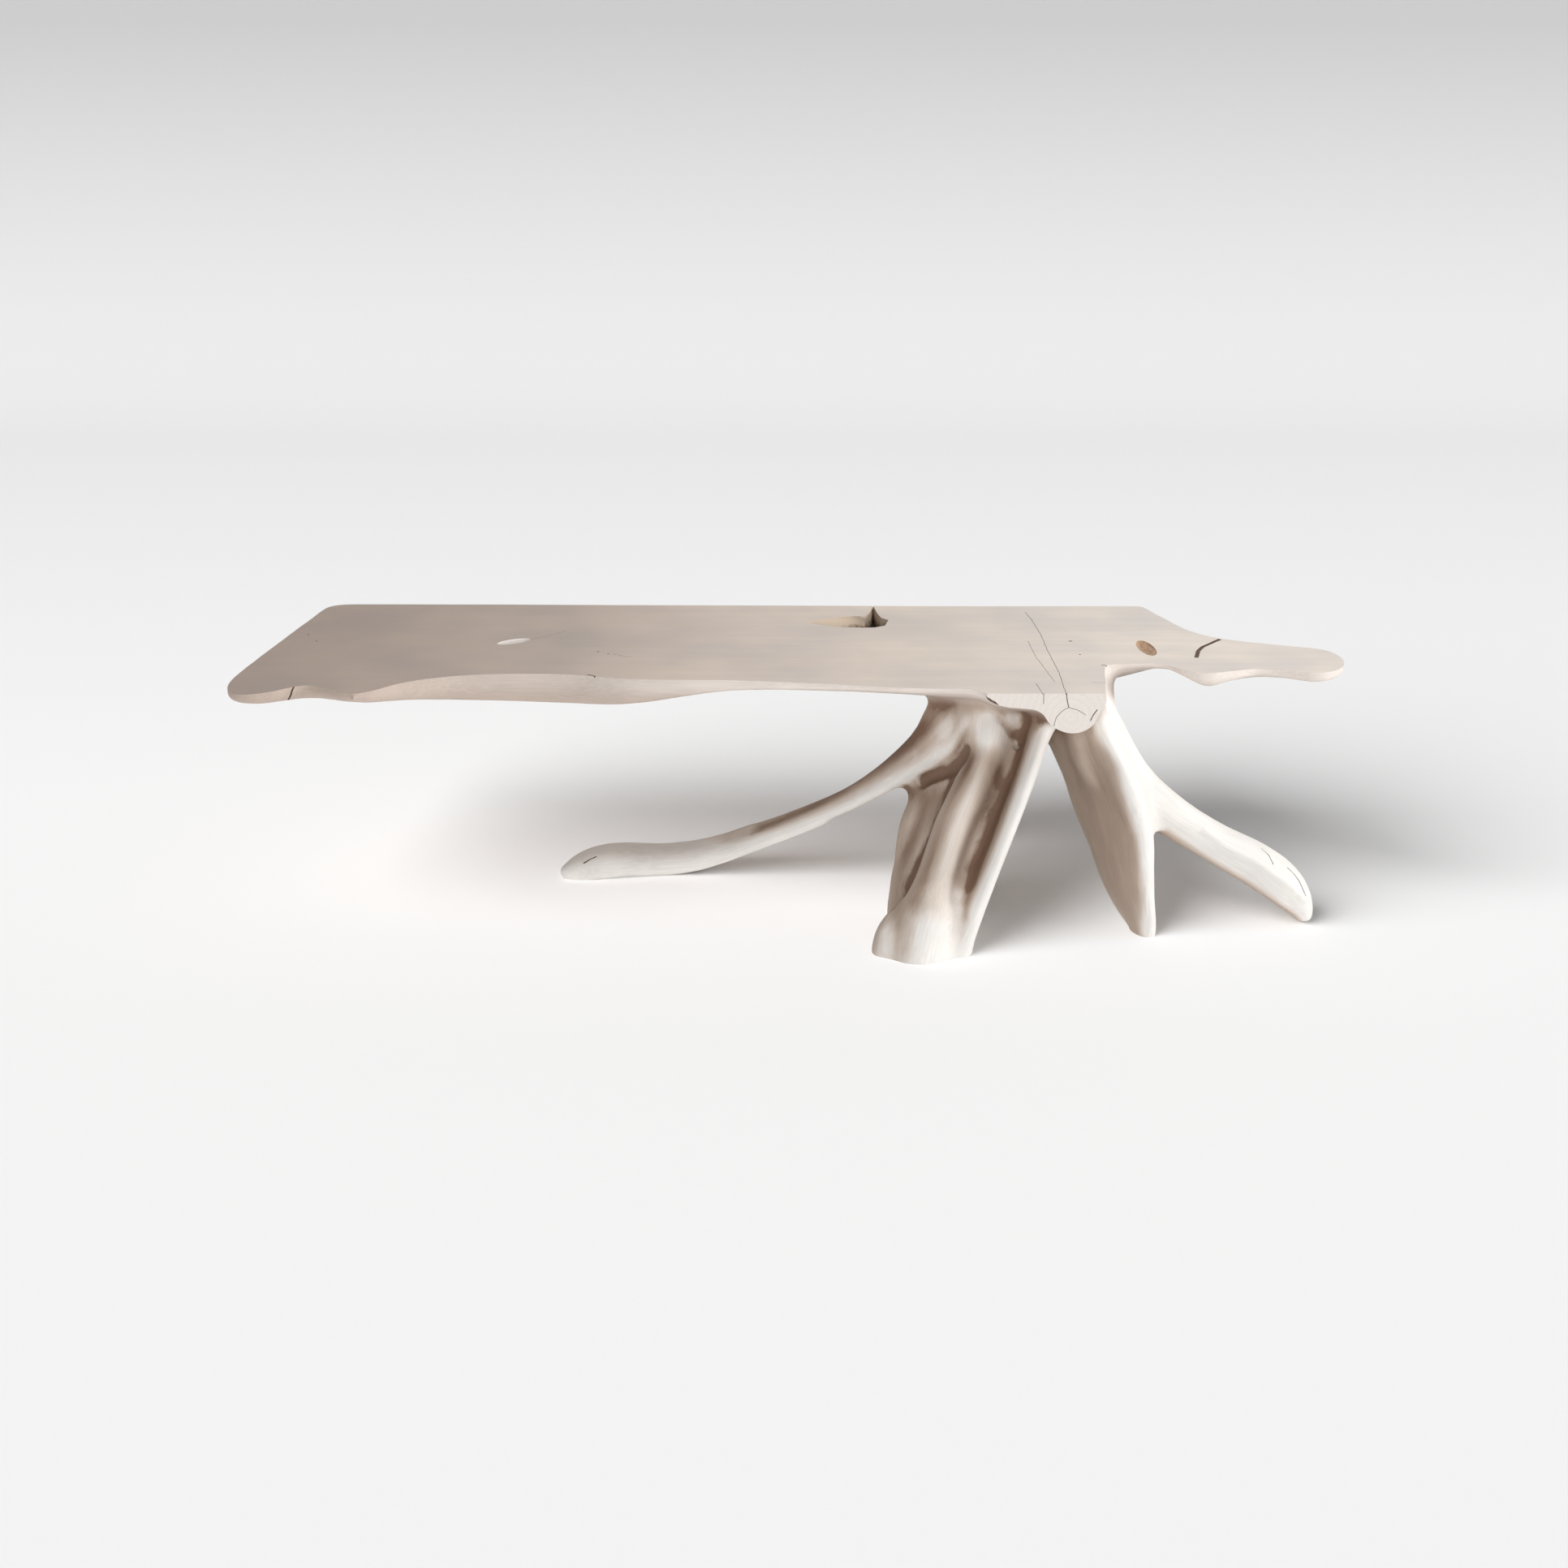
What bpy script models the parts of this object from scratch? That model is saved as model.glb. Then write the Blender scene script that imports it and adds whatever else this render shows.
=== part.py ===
"""A low table of bleached driftwood: one root stump, sawn flat on top, standing on its own roots.

+X runs along the table, -Y is its front, +Z is up. The origin is the centre of its footprint on the floor.
The wood is first built over-size, as a tree grows it, and is then sawn flat, as a carver would do it.
"""

import math

import bmesh
import bpy
import numpy as np
from mathutils import Vector

TOP_HEIGHT = 0.430  # floor to the sawn top
OVERSIZE = 0.045  # wood left above the top, and below the feet, for the saw
VOXEL = 0.0055  # grain of the merged wood before it is thinned out
WEB = 0.008  # radius of the web that grows in the crotch between two roots
SMOOTHING = 9
KEEP_FACES = 0.038  # share of the merged faces that the finished solid keeps

RING_POINTS = 28
STATION_STEP = 0.014  # along a root
OUTLINE_STEP = 0.012  # along the rim of the top

WOOD_COLOUR = (0.78, 0.71, 0.64, 1.0)
WOOD_ROUGHNESS = 0.72

# The rim of the top, anticlockwise from the left tip: x, y, thickness of the wood there, and True where
# the rim turns a sharp corner.
RIM = [
    (-0.955, -0.170, 0.016, False),
    (-0.934, -0.222, 0.016, False),
    (-0.888, -0.214, 0.022, False),
    (-0.820, -0.167, 0.026, False),
    (-0.735, -0.218, 0.019, False),
    (-0.660, -0.148, 0.038, False),
    (-0.550, -0.106, 0.051, False),
    (-0.400, -0.103, 0.057, False),
    (-0.280, -0.133, 0.048, False),
    (-0.110, -0.140, 0.021, False),
    (0.050, -0.164, 0.012, False),
    (0.160, -0.185, 0.009, False),
    (0.240, -0.190, 0.010, False),
    (0.295, -0.194, 0.012, False),
    (0.330, -0.235, 0.016, False),
    (0.400, -0.240, 0.022, False),
    (0.503, -0.240, 0.026, True),
    (0.516, -0.140, 0.030, False),
    (0.528, -0.046, 0.020, True),
    (0.560, -0.043, 0.007, False),
    (0.600, -0.042, 0.006, False),
    (0.632, -0.042, 0.008, False),
    (0.662, -0.080, 0.015, False),
    (0.700, -0.096, 0.029, False),
    (0.740, -0.086, 0.021, False),
    (0.800, -0.071, 0.014, False),
    (0.885, -0.097, 0.019, False),
    (0.932, -0.068, 0.018, False),
    (0.949, -0.010, 0.015, False),
    (0.931, 0.045, 0.015, False),
    (0.860, 0.075, 0.019, False),
    (0.765, 0.117, 0.024, False),
    (0.712, 0.176, 0.030, False),
    (0.678, 0.270, 0.034, False),
    (0.654, 0.348, 0.036, True),
    (0.560, 0.349, 0.040, False),
    (0.200, 0.350, 0.046, False),
    (-0.300, 0.357, 0.044, False),
    (-0.700, 0.363, 0.036, False),
    (-0.820, 0.364, 0.032, False),
    (-0.862, 0.362, 0.030, False),
    (-0.886, 0.348, 0.029, False),
    (-0.894, 0.318, 0.028, False),
    (-0.905, 0.240, 0.028, False),
    (-0.928, 0.085, 0.026, False),
    (-0.950, -0.080, 0.020, False),
]
# The line along the underside where the wood is thickest: x, y, thickness.
SPINE = [
    (-0.88, 0.08, 0.034),
    (-0.60, 0.09, 0.056),
    (-0.20, 0.10, 0.060),
    (0.15, 0.09, 0.062),
    (0.40, 0.08, 0.090),
    (0.49, 0.10, 0.075),
    (0.56, 0.13, 0.038),
    (0.63, 0.12, 0.031),
    (0.70, 0.08, 0.034),
    (0.78, 0.02, 0.034),
    (0.90, -0.01, 0.024),
]
# The live edge, from above the saw line to where it turns under: depth and outward bulge, both as shares
# of the wood's thickness at the rim.
LIVE_EDGE = [(0.0, 0.0), (0.35, 0.22), (0.70, 0.20), (0.93, -0.05), (1.0, -0.40)]
UNDERSIDE = (0.12, 0.30, 0.55, 0.80, 0.97)  # rings between the rim and the spine, as shares of the way

# Each root follows a path of x, y, z. Its cross-section is an oval whose half sizes are given at each
# point: the first along the root's own "across" direction, the second square to it. A twist turns that
# direction about the path, from its first angle to its second. A furrow runs along a root at an angle
# from "across": angle at the start and at the end, depth share and half width.
ROOTS = {
    "crown": dict(
        across=(1.0, 0.0, 0.0),
        path=[
            (0.370, 0.050, 0.450, 0.190, 0.175),
            (0.372, 0.040, 0.408, 0.155, 0.140),
            (0.390, 0.030, 0.360, 0.105, 0.105),
            (0.400, 0.030, 0.315, 0.072, 0.080),
        ],
    ),
    "sawn_stub": dict(
        across=(1.0, 0.0, 0.0),
        path=[
            (0.430, 0.020, 0.380, 0.070, 0.060),
            (0.448, -0.100, 0.395, 0.052, 0.040),
            (0.454, -0.200, 0.400, 0.046, 0.040),
            (0.456, -0.290, 0.402, 0.046, 0.042),
        ],
    ),
    "left_root": dict(
        across=(0.0, 1.0, 0.0),
        twist=(math.radians(60), math.radians(-5)),
        furrows=[(math.radians(85), math.radians(80), 0.34, math.radians(44))],
        path=[
            (0.330, -0.030, 0.370, 0.078, 0.072),
            (0.270, -0.045, 0.328, 0.056, 0.048),
            (0.225, -0.052, 0.282, 0.040, 0.034),
            (0.164, -0.030, 0.224, 0.033, 0.028),
            (0.100, -0.004, 0.173, 0.029, 0.026),
            (0.038, 0.016, 0.136, 0.027, 0.023),
            (-0.026, 0.034, 0.102, 0.028, 0.021),
            (-0.082, 0.048, 0.076, 0.031, 0.022),
            (-0.135, 0.060, 0.052, 0.033, 0.026),
            (-0.190, 0.070, 0.033, 0.037, 0.029),
            (-0.250, 0.076, 0.025, 0.041, 0.030),
            (-0.310, 0.072, 0.027, 0.045, 0.033),
            (-0.355, 0.062, 0.027, 0.044, 0.035),
            (-0.395, 0.048, 0.021, 0.036, 0.030),
            (-0.428, 0.034, 0.012, 0.018, 0.016),
        ],
    ),
    "front_shin": dict(
        across=(1.0, 0.0, 0.0),
        path=[
            (0.335, -0.040, 0.400, 0.070, 0.060),
            (0.326, -0.088, 0.340, 0.048, 0.048),
            (0.312, -0.135, 0.268, 0.036, 0.046),
            (0.266, -0.190, 0.184, 0.034, 0.046),
            (0.232, -0.238, 0.100, 0.035, 0.048),
            (0.212, -0.276, 0.035, 0.056, 0.060),
            (0.205, -0.290, -0.020, 0.066, 0.068),
        ],
    ),
    "front_ridge": dict(
        across=(0.97, 0.24, 0.0),
        path=[
            (0.440, -0.070, 0.385, 0.040, 0.040),
            (0.410, -0.130, 0.325, 0.020, 0.034),
            (0.383, -0.176, 0.263, 0.017, 0.038),
            (0.345, -0.220, 0.180, 0.017, 0.042),
            (0.3057, -0.256, 0.095, 0.018, 0.042),
            (0.2764, -0.278, 0.030, 0.021, 0.042),
            (0.262, -0.284, -0.020, 0.026, 0.044),
        ],
    ),
    "front_core": dict(
        across=(0.45, 0.9, 0.0),
        path=[
            (0.375, 0.000, 0.385, 0.080, 0.050),
            (0.362, -0.030, 0.300, 0.070, 0.038),
            (0.324, -0.080, 0.200, 0.070, 0.036),
            (0.280, -0.138, 0.100, 0.075, 0.038),
            (0.240, -0.200, 0.030, 0.085, 0.045),
            (0.232, -0.212, -0.020, 0.085, 0.050),
        ],
    ),
    "front_web": dict(
        across=(0.35, -0.94, 0.0),
        path=[
            (0.310, -0.050, 0.330, 0.060, 0.040),
            (0.274, -0.066, 0.262, 0.056, 0.032),
            (0.250, -0.088, 0.206, 0.060, 0.028),
            (0.224, -0.120, 0.138, 0.066, 0.028),
            (0.205, -0.150, 0.074, 0.074, 0.030),
            (0.200, -0.172, 0.020, 0.080, 0.034),
            (0.200, -0.180, -0.020, 0.080, 0.036),
        ],
    ),
    "front_flange": dict(
        across=(0.25, 1.0, 0.0),
        path=[
            (0.330, 0.020, 0.360, 0.060, 0.034),
            (0.287, 0.000, 0.270, 0.050, 0.025),
            (0.239, -0.034, 0.205, 0.052, 0.022),
            (0.203, -0.062, 0.145, 0.056, 0.022),
            (0.194, -0.090, 0.062, 0.060, 0.021),
            (0.199, -0.125, 0.010, 0.060, 0.023),
            (0.200, -0.135, -0.020, 0.060, 0.023),
        ],
    ),
    "front_toe": dict(
        across=(1.0, 0.0, 0.0),
        path=[
            (0.235, -0.220, 0.060, 0.040, 0.030),
            (0.185, -0.262, 0.034, 0.040, 0.034),
            (0.160, -0.292, 0.016, 0.036, 0.030),
            (0.152, -0.302, -0.012, 0.032, 0.028),
        ],
    ),
    "right_shoulder": dict(
        across=(1.0, 0.0, 0.0),
        path=[
            (0.470, 0.030, 0.430, 0.090, 0.085),
            (0.492, -0.020, 0.385, 0.060, 0.064),
            (0.505, -0.065, 0.335, 0.050, 0.055),
            (0.527, -0.098, 0.275, 0.047, 0.045),
            (0.572, -0.130, 0.215, 0.048, 0.040),
        ],
    ),
    "right_blade": dict(
        across=(-0.45, 0.89, 0.0),
        furrows=[(math.radians(100), math.radians(95), 0.16, math.radians(40))],
        path=[
            (0.470, -0.040, 0.370, 0.090, 0.040),
            (0.492, -0.075, 0.300, 0.095, 0.030),
            (0.520, -0.108, 0.235, 0.103, 0.026),
            (0.545, -0.145, 0.160, 0.090, 0.023),
            (0.562, -0.172, 0.092, 0.074, 0.021),
            (0.576, -0.192, 0.050, 0.054, 0.020),
            (0.588, -0.212, 0.018, 0.032, 0.019),
            (0.596, -0.225, -0.012, 0.020, 0.016),
        ],
    ),
    "right_shin": dict(
        across=(1.0, 0.0, 0.0),
        path=[
            (0.530, -0.125, 0.300, 0.024, 0.040),
            (0.560, -0.165, 0.240, 0.026, 0.040),
            (0.583, -0.190, 0.170, 0.023, 0.036),
            (0.590, -0.204, 0.110, 0.019, 0.030),
            (0.596, -0.212, 0.060, 0.016, 0.026),
            (0.602, -0.220, 0.020, 0.014, 0.022),
            (0.605, -0.224, -0.010, 0.011, 0.016),
        ],
    ),
    "right_root": dict(
        across=(0.0, 1.0, 0.0),
        path=[
            (0.522, -0.070, 0.330, 0.048, 0.040),
            (0.572, -0.115, 0.243, 0.044, 0.040),
            (0.640, -0.135, 0.187, 0.042, 0.036),
            (0.715, -0.148, 0.142, 0.044, 0.035),
            (0.788, -0.154, 0.103, 0.048, 0.039),
            (0.836, -0.158, 0.070, 0.049, 0.038),
            (0.866, -0.161, 0.038, 0.042, 0.030),
            (0.884, -0.164, 0.008, 0.028, 0.016),
        ],
    ),
    "back_root": dict(
        across=(1.0, 0.0, 0.0),
        furrows=[(math.radians(200), math.radians(230), 0.22, math.radians(28))],
        path=[
            (0.420, 0.050, 0.370, 0.080, 0.065),
            (0.392, 0.110, 0.285, 0.052, 0.046),
            (0.352, 0.155, 0.195, 0.042, 0.040),
            (0.322, 0.195, 0.100, 0.040, 0.040),
            (0.304, 0.232, 0.030, 0.048, 0.046),
            (0.300, 0.245, -0.020, 0.052, 0.052),
        ],
    ),
}

SHIFT = (0.0036, -0.0088, 0.0)  # brings the middle of the finished footprint to the origin

# The saw cuts beside the top and the feet: a low and a high corner of what is cut away.
STUB_CUT = ((0.300, -0.500, 0.335), (0.560, -0.2190, 0.520))
NOTCH_CUT = ((0.5300, -0.300, 0.416), (0.640, -0.0500, 0.520))


def catmull_rom(points, i, t):
    """A point on the smooth curve between points[i] and points[i + 1]; a closed curve passes its ends in."""
    a, b, c, d = (points[j] for j in (i - 1, i, i + 1, i + 2))
    return 0.5 * (2 * b + (c - a) * t + (2 * a - 5 * b + 4 * c - d) * t**2 + (3 * b - a - 3 * c + d) * t**3)


def smooth_path(points, step):
    """The curve through the points, read about every step, as rows of the same columns."""
    rows = np.array(points, float)
    held = np.vstack([2 * rows[0] - rows[1], rows, 2 * rows[-1] - rows[-2]])
    found = []
    for i in range(1, len(held) - 2):
        count = max(1, round(np.linalg.norm(held[i + 1, :3] - held[i, :3]) / step))
        found += [catmull_rom(held, i, k / count) for k in range(count)]
    return np.array(found + [rows[-1]])


def rim_points():
    """The rim as rows of x, y and thickness: curved between the sharp corners and closed."""
    first = next(i for i, row in enumerate(RIM) if row[3])
    turned = RIM[first:] + RIM[: first + 1]
    corners = [i for i, row in enumerate(turned) if row[3]]
    found = []
    for start, end in zip(corners, corners[1:]):
        stretch = [row[:3] for row in turned[start : end + 1]]
        found.append(smooth_path(stretch, OUTLINE_STEP)[:-1])
    return np.vstack(found)


def bridged(bm, rings, closed_ends=True):
    """Joins rings of equal length with quads, and fills the first and last ring."""
    made = [[bm.verts.new(point) for point in ring] for ring in rings]
    for low, high in zip(made, made[1:]):
        for i in range(len(low)):
            j = (i + 1) % len(low)
            bm.faces.new((low[i], low[j], high[j], high[i]))
    if closed_ends:
        bm.faces.new(list(reversed(made[0])))
        bm.faces.new(made[-1])


def add_slab(bm):
    """The part of the stump that becomes the table top: a live edge all round and a belly underneath."""
    rim = rim_points()
    xy, thick = rim[:, :2], rim[:, 2]
    along = np.roll(xy, -1, axis=0) - np.roll(xy, 1, axis=0)
    along /= np.linalg.norm(along, axis=1)[:, None]
    outward = np.column_stack([along[:, 1], -along[:, 0]])
    spine = smooth_path(SPINE, OUTLINE_STEP)
    nearest = np.argmin(np.linalg.norm(xy[:, None] - spine[None, :, :2], axis=2), axis=1)
    rings = [np.column_stack([xy, np.full(len(xy), TOP_HEIGHT + OVERSIZE)])]
    for depth, bulge in LIVE_EDGE:
        moved = xy + outward * (bulge * thick)[:, None]
        rings.append(np.column_stack([moved, TOP_HEIGHT - depth * thick]))
    edge = rings[-1]
    for share in UNDERSIDE:
        belly = share * (2 - share)
        depth = thick + (spine[nearest, 2] - thick) * belly
        across = edge[:, :2] + (spine[nearest, :2] - edge[:, :2]) * share
        rings.append(np.column_stack([across, TOP_HEIGHT - depth]))
    bridged(bm, rings)


def furrow_share(angle, place, furrows):
    """How much of the radius the furrows leave at an angle, at a place from 0 to 1 along the root."""
    left = 1.0
    for start, end, depth, width in furrows:
        middle = start + (end - start) * place
        off = (angle - middle + math.pi) % (2 * math.pi) - math.pi
        left -= depth * math.exp(-((off / width) ** 2))
    return left


def add_root(bm, path, across, twist=(0.0, 0.0), furrows=()):
    """One root: oval rings along its path, with its furrows, closed by a dome at each end."""
    rows = smooth_path(path, STATION_STEP)
    tangents = np.gradient(rows[:, :3], axis=0)
    rings = []
    for k, row in enumerate(rows):
        tangent = Vector(tangents[k]).normalized()
        side = Vector(across)
        side = (side - tangent * side.dot(tangent)).normalized()
        square = side.cross(tangent)
        place = k / (len(rows) - 1)
        turn = twist[0] + (twist[1] - twist[0]) * place
        side, square = (
            side * math.cos(turn) + square * math.sin(turn),
            square * math.cos(turn) - side * math.sin(turn),
        )
        ring = []
        for n in range(RING_POINTS):
            angle = 2 * math.pi * n / RING_POINTS
            share = furrow_share(angle, place, furrows)
            reach = side * (row[3] * math.cos(angle)) + square * (row[4] * math.sin(angle))
            ring.append(Vector(row[:3]) + reach * share)
        rings.append(ring)
    for end, inner in ((0, 1), (-1, -2)):
        middle = Vector(rows[end, :3])
        beyond = (middle - Vector(rows[inner, :3])).normalized() * (0.45 * rows[end, 4])
        dome = [middle + beyond + (point - middle) * 0.55 for point in rings[end]]
        rings.insert(0, dome) if end == 0 else rings.append(dome)
    bridged(bm, rings)


def box_cutter(name, low, high):
    """A hidden box that a Boolean takes away."""
    bm = bmesh.new()
    bmesh.ops.create_cube(bm, size=1.0)
    mesh = bpy.data.meshes.new(name)
    size = Vector(high) - Vector(low)
    bmesh.ops.scale(bm, vec=size, verts=bm.verts)
    bmesh.ops.translate(bm, vec=(Vector(high) + Vector(low)) / 2, verts=bm.verts)
    bm.to_mesh(mesh)
    bm.free()
    return hidden_cutter(name, mesh)


def hollow_cutter():
    """The hollow left by a rotten knot near the back of the top: a long shallow trough with a deep end."""
    bm = bmesh.new()
    add_root(
        bm,
        path=[
            (0.020, 0.236, TOP_HEIGHT + 0.012, 0.016, 0.014),
            (0.070, 0.234, TOP_HEIGHT + 0.008, 0.034, 0.020),
            (0.120, 0.240, TOP_HEIGHT - 0.004, 0.040, 0.024),
            (0.144, 0.250, TOP_HEIGHT - 0.018, 0.024, 0.018),
            (0.152, 0.254, TOP_HEIGHT - 0.026, 0.016, 0.010),
        ],
        across=(0.0, 1.0, 0.0),
    )
    mesh = bpy.data.meshes.new("knot_hollow")
    bmesh.ops.recalc_face_normals(bm, faces=bm.faces)
    bm.to_mesh(mesh)
    bm.free()
    return hidden_cutter("knot_hollow", mesh)


def hidden_cutter(name, mesh):
    cutter = bpy.data.objects.new(name, mesh)
    bpy.context.scene.collection.objects.link(cutter)
    cutter.hide_render = True
    cutter.display_type = "WIRE"
    return cutter


def wood_material():
    material = bpy.data.materials.new("bleached_wood")
    material.use_nodes = True
    shader = material.node_tree.nodes["Principled BSDF"]
    shader.inputs["Base Color"].default_value = WOOD_COLOUR
    shader.inputs["Roughness"].default_value = WOOD_ROUGHNESS
    shader.inputs["Metallic"].default_value = 0.0
    return material


def remesh(wood, name):
    modifier = wood.modifiers.new(name, "REMESH")
    modifier.mode = "VOXEL"
    modifier.voxel_size = VOXEL


def swell(wood, name, distance):
    modifier = wood.modifiers.new(name, "DISPLACE")
    modifier.strength = distance
    modifier.mid_level = 0.0


def cut(wood, cutter):
    modifier = wood.modifiers.new(cutter.name, "BOOLEAN")
    modifier.operation = "DIFFERENCE"
    modifier.solver = "EXACT"
    modifier.object = cutter


def grow():
    """The stump before the saw: the slab and every root as overlapping closed shapes in one mesh."""
    bm = bmesh.new()
    add_slab(bm)
    for root in ROOTS.values():
        add_root(bm, **root)
    bmesh.ops.recalc_face_normals(bm, faces=bm.faces)
    mesh = bpy.data.meshes.new("driftwood")
    bm.to_mesh(mesh)
    bm.free()
    wood = bpy.data.objects.new("driftwood", mesh)
    bpy.context.scene.collection.objects.link(wood)
    return wood


def finish(wood):
    """Merges the roots, webs their crotches, thins the mesh out and saws the flats."""
    remesh(wood, "merge")
    swell(wood, "grow_webs", WEB)
    remesh(wood, "merge_webs")
    swell(wood, "shrink_back", -WEB)
    smooth = wood.modifiers.new("weather", "SMOOTH")
    smooth.factor = 0.5
    smooth.iterations = SMOOTHING
    thin_out = wood.modifiers.new("thin_out", "DECIMATE")
    thin_out.ratio = KEEP_FACES
    cut(wood, box_cutter("top_saw", (-1.2, -0.8, TOP_HEIGHT), (1.2, 0.8, TOP_HEIGHT + 0.3)))
    cut(wood, box_cutter("floor_saw", (-1.2, -0.8, -0.3), (1.2, 0.8, 0.0)))
    cut(wood, box_cutter("stub_saw", *STUB_CUT))
    cut(wood, box_cutter("notch_saw", *NOTCH_CUT))
    cut(wood, hollow_cutter())


def main():
    for thing in list(bpy.data.objects):
        bpy.data.objects.remove(thing)
    wood = grow()
    finish(wood)
    wood.data.materials.append(wood_material())
    for thing in bpy.data.objects:
        thing.location = Vector(SHIFT)


main()
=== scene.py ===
"""A driftwood table: a bleached root stump whose sawn and sanded top overhangs its own roots."""

import math

import bmesh
import bpy
import numpy as np
from mathutils import Matrix, Vector
from mathutils.bvhtree import BVHTree
from mathutils.kdtree import KDTree


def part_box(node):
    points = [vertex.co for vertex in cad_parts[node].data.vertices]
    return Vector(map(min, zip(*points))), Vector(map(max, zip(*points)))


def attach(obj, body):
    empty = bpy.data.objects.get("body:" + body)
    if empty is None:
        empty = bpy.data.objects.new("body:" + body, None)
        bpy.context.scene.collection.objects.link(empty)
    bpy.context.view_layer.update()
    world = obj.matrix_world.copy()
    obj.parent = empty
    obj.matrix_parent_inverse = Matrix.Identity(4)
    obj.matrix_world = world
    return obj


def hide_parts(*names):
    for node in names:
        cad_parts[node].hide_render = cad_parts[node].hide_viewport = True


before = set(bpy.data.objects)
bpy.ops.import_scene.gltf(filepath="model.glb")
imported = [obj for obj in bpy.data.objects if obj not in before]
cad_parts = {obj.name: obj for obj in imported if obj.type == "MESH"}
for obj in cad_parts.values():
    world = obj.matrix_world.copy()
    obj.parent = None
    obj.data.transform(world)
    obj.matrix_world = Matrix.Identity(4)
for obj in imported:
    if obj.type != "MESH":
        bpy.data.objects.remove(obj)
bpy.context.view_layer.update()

# ---------------- sizes, in metres

MM = 0.001
LOW, HIGH = (Vector(corner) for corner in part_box("driftwood"))
TOP = HIGH.z  # the sanded top
STUB_FACE = -0.2278  # the sawn end of the stub under the front edge
STUB_SIDES = (0.3036, 0.5636)  # the stretch of the front edge sawn back to that end
STUB_FOOT = 0.335  # how low that saw cut reaches
STUB_HEART = Vector((0.4556, STUB_FACE, 0.388))  # pith of the stub's growth rings
RING_SPACING = 5.5 * MM

GRIT = 3.0 * MM  # how finely the wood is carved
FLAT_SPARE = 18 * MM  # how far the flats are run on before they are sawn off
SAW_REACH = 1.5  # a saw cut that passes right through the table
FAIRING = 26  # passes that take the facets out of the blank
# Smoothing, as passes and the pull of each: at first, on worn places, after carving, and to tell
# furrow from ridge.
FIRST_RUBS, WEARING, LAST_RUBS, LEVELLING = (6, 0.5), (40, 0.7), (2, 0.4), (40, 0.9)
CAVITY_DEPTH = 4 * MM  # a furrow this deep gets the full painted shade
CALM_EDGE = (45 * MM, 25 * MM)  # how far under the top the carving starts to quieten, and is quiet
CALM = 0.6  # how much of the carving goes there
SEAM = 22 * MM  # the width over which one root's fibres run into the next one's
MOST_TRIANGLES = 170_000
SHARP_TURN = math.radians(42)
SUN = Vector((0.85, -0.42, 0.28)).normalized()  # the key lamp's side: painted light on faces it lights, painted shade on the far side
PATCH = 120 * MM  # the size of the patches of random tone that stray from that painted light
STRAYING = 0.10  # and by how much
TOUCH_SHADE_SPREAD = 1.25  # how much further a touch's painted shade reaches than the relief it goes with
FIBRE_SHIFT = np.array((0.0, 0.37, 0.21))  # sets each root's grain apart from the last one's

# Each root's run from the crown to its tip, along which its fibres lie.
ROOT_RUNS = {
    "left_root": [
        (0.334, -0.039, 0.370), (0.274, -0.054, 0.328), (0.229, -0.061, 0.282),
        (0.168, -0.039, 0.224), (0.104, -0.013, 0.173), (0.042, 0.007, 0.136),
        (-0.022, 0.025, 0.102), (-0.078, 0.039, 0.076), (-0.131, 0.051, 0.052),
        (-0.186, 0.061, 0.033), (-0.306, 0.063, 0.027), (-0.424, 0.025, 0.012),
    ],
    "front_shin": [
        (0.339, -0.049, 0.400), (0.330, -0.097, 0.340), (0.316, -0.144, 0.268),
        (0.270, -0.199, 0.184), (0.236, -0.247, 0.100), (0.209, -0.299, -0.020),
    ],
    "front_ridge": [
        (0.444, -0.079, 0.385), (0.414, -0.139, 0.325), (0.387, -0.185, 0.263),
        (0.349, -0.229, 0.180), (0.309, -0.265, 0.095), (0.280, -0.287, 0.030),
    ],
    "front_flange": [
        (0.291, -0.009, 0.270), (0.243, -0.043, 0.205), (0.207, -0.071, 0.145),
        (0.198, -0.099, 0.062), (0.203, -0.134, 0.010),
    ],
    "right_blade": [
        (0.474, -0.049, 0.370), (0.496, -0.084, 0.300), (0.524, -0.117, 0.235),
        (0.549, -0.154, 0.160), (0.566, -0.181, 0.092), (0.592, -0.221, 0.018),
    ],
    "right_shin": [
        (0.534, -0.134, 0.300), (0.587, -0.199, 0.170), (0.600, -0.221, 0.060),
        (0.609, -0.233, -0.010),
    ],
    "right_root": [
        (0.526, -0.079, 0.330), (0.576, -0.124, 0.243), (0.644, -0.144, 0.187),
        (0.719, -0.157, 0.142), (0.792, -0.163, 0.103), (0.870, -0.170, 0.038),
        (0.888, -0.173, 0.008),
    ],
    "back_root": [
        (0.424, 0.041, 0.370), (0.396, 0.101, 0.285), (0.356, 0.146, 0.195),
        (0.326, 0.186, 0.100), (0.308, 0.223, 0.030),
    ],
    "top_plank": [(-0.960, 0.000, 0.412), (0.960, 0.000, 0.412)],
    "stub": [(0.452, 0.060, 0.395), (0.456, -0.240, 0.398)],
}
# Both set how far down from the plank its own fibres win over the roots'.
PLANK_HALF_THICKNESS = 0.022
ROOT_HALF_THICKNESS = 0.03

# Wood grown into the fold between the front shin and its ridge: middles, each with its radius.
FOLD_SWELLING = [
    (0.390, -0.090, 0.350, 22 * MM), (0.380, -0.102, 0.315, 20 * MM), (0.367, -0.113, 0.288, 17 * MM),
    (0.358, -0.138, 0.262, 15 * MM), (0.352, -0.158, 0.243, 13 * MM), (0.334, -0.188, 0.200, 13 * MM),
    (0.313, -0.212, 0.150, 13 * MM), (0.296, -0.234, 0.110, 13 * MM),
]
SWELLING_STEPS = 14  # swellings from one middle to the next

# Where handling and weather have worn the wood rounder, each a line and how wide.
WORN = [
    ([(0.378, -0.115, 0.350), (0.368, -0.132, 0.310), (0.358, -0.155, 0.270)], 28 * MM),
    ([(-0.736, -0.240, 0.450), (-0.736, -0.232, 0.380)], 34 * MM),
]

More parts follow.
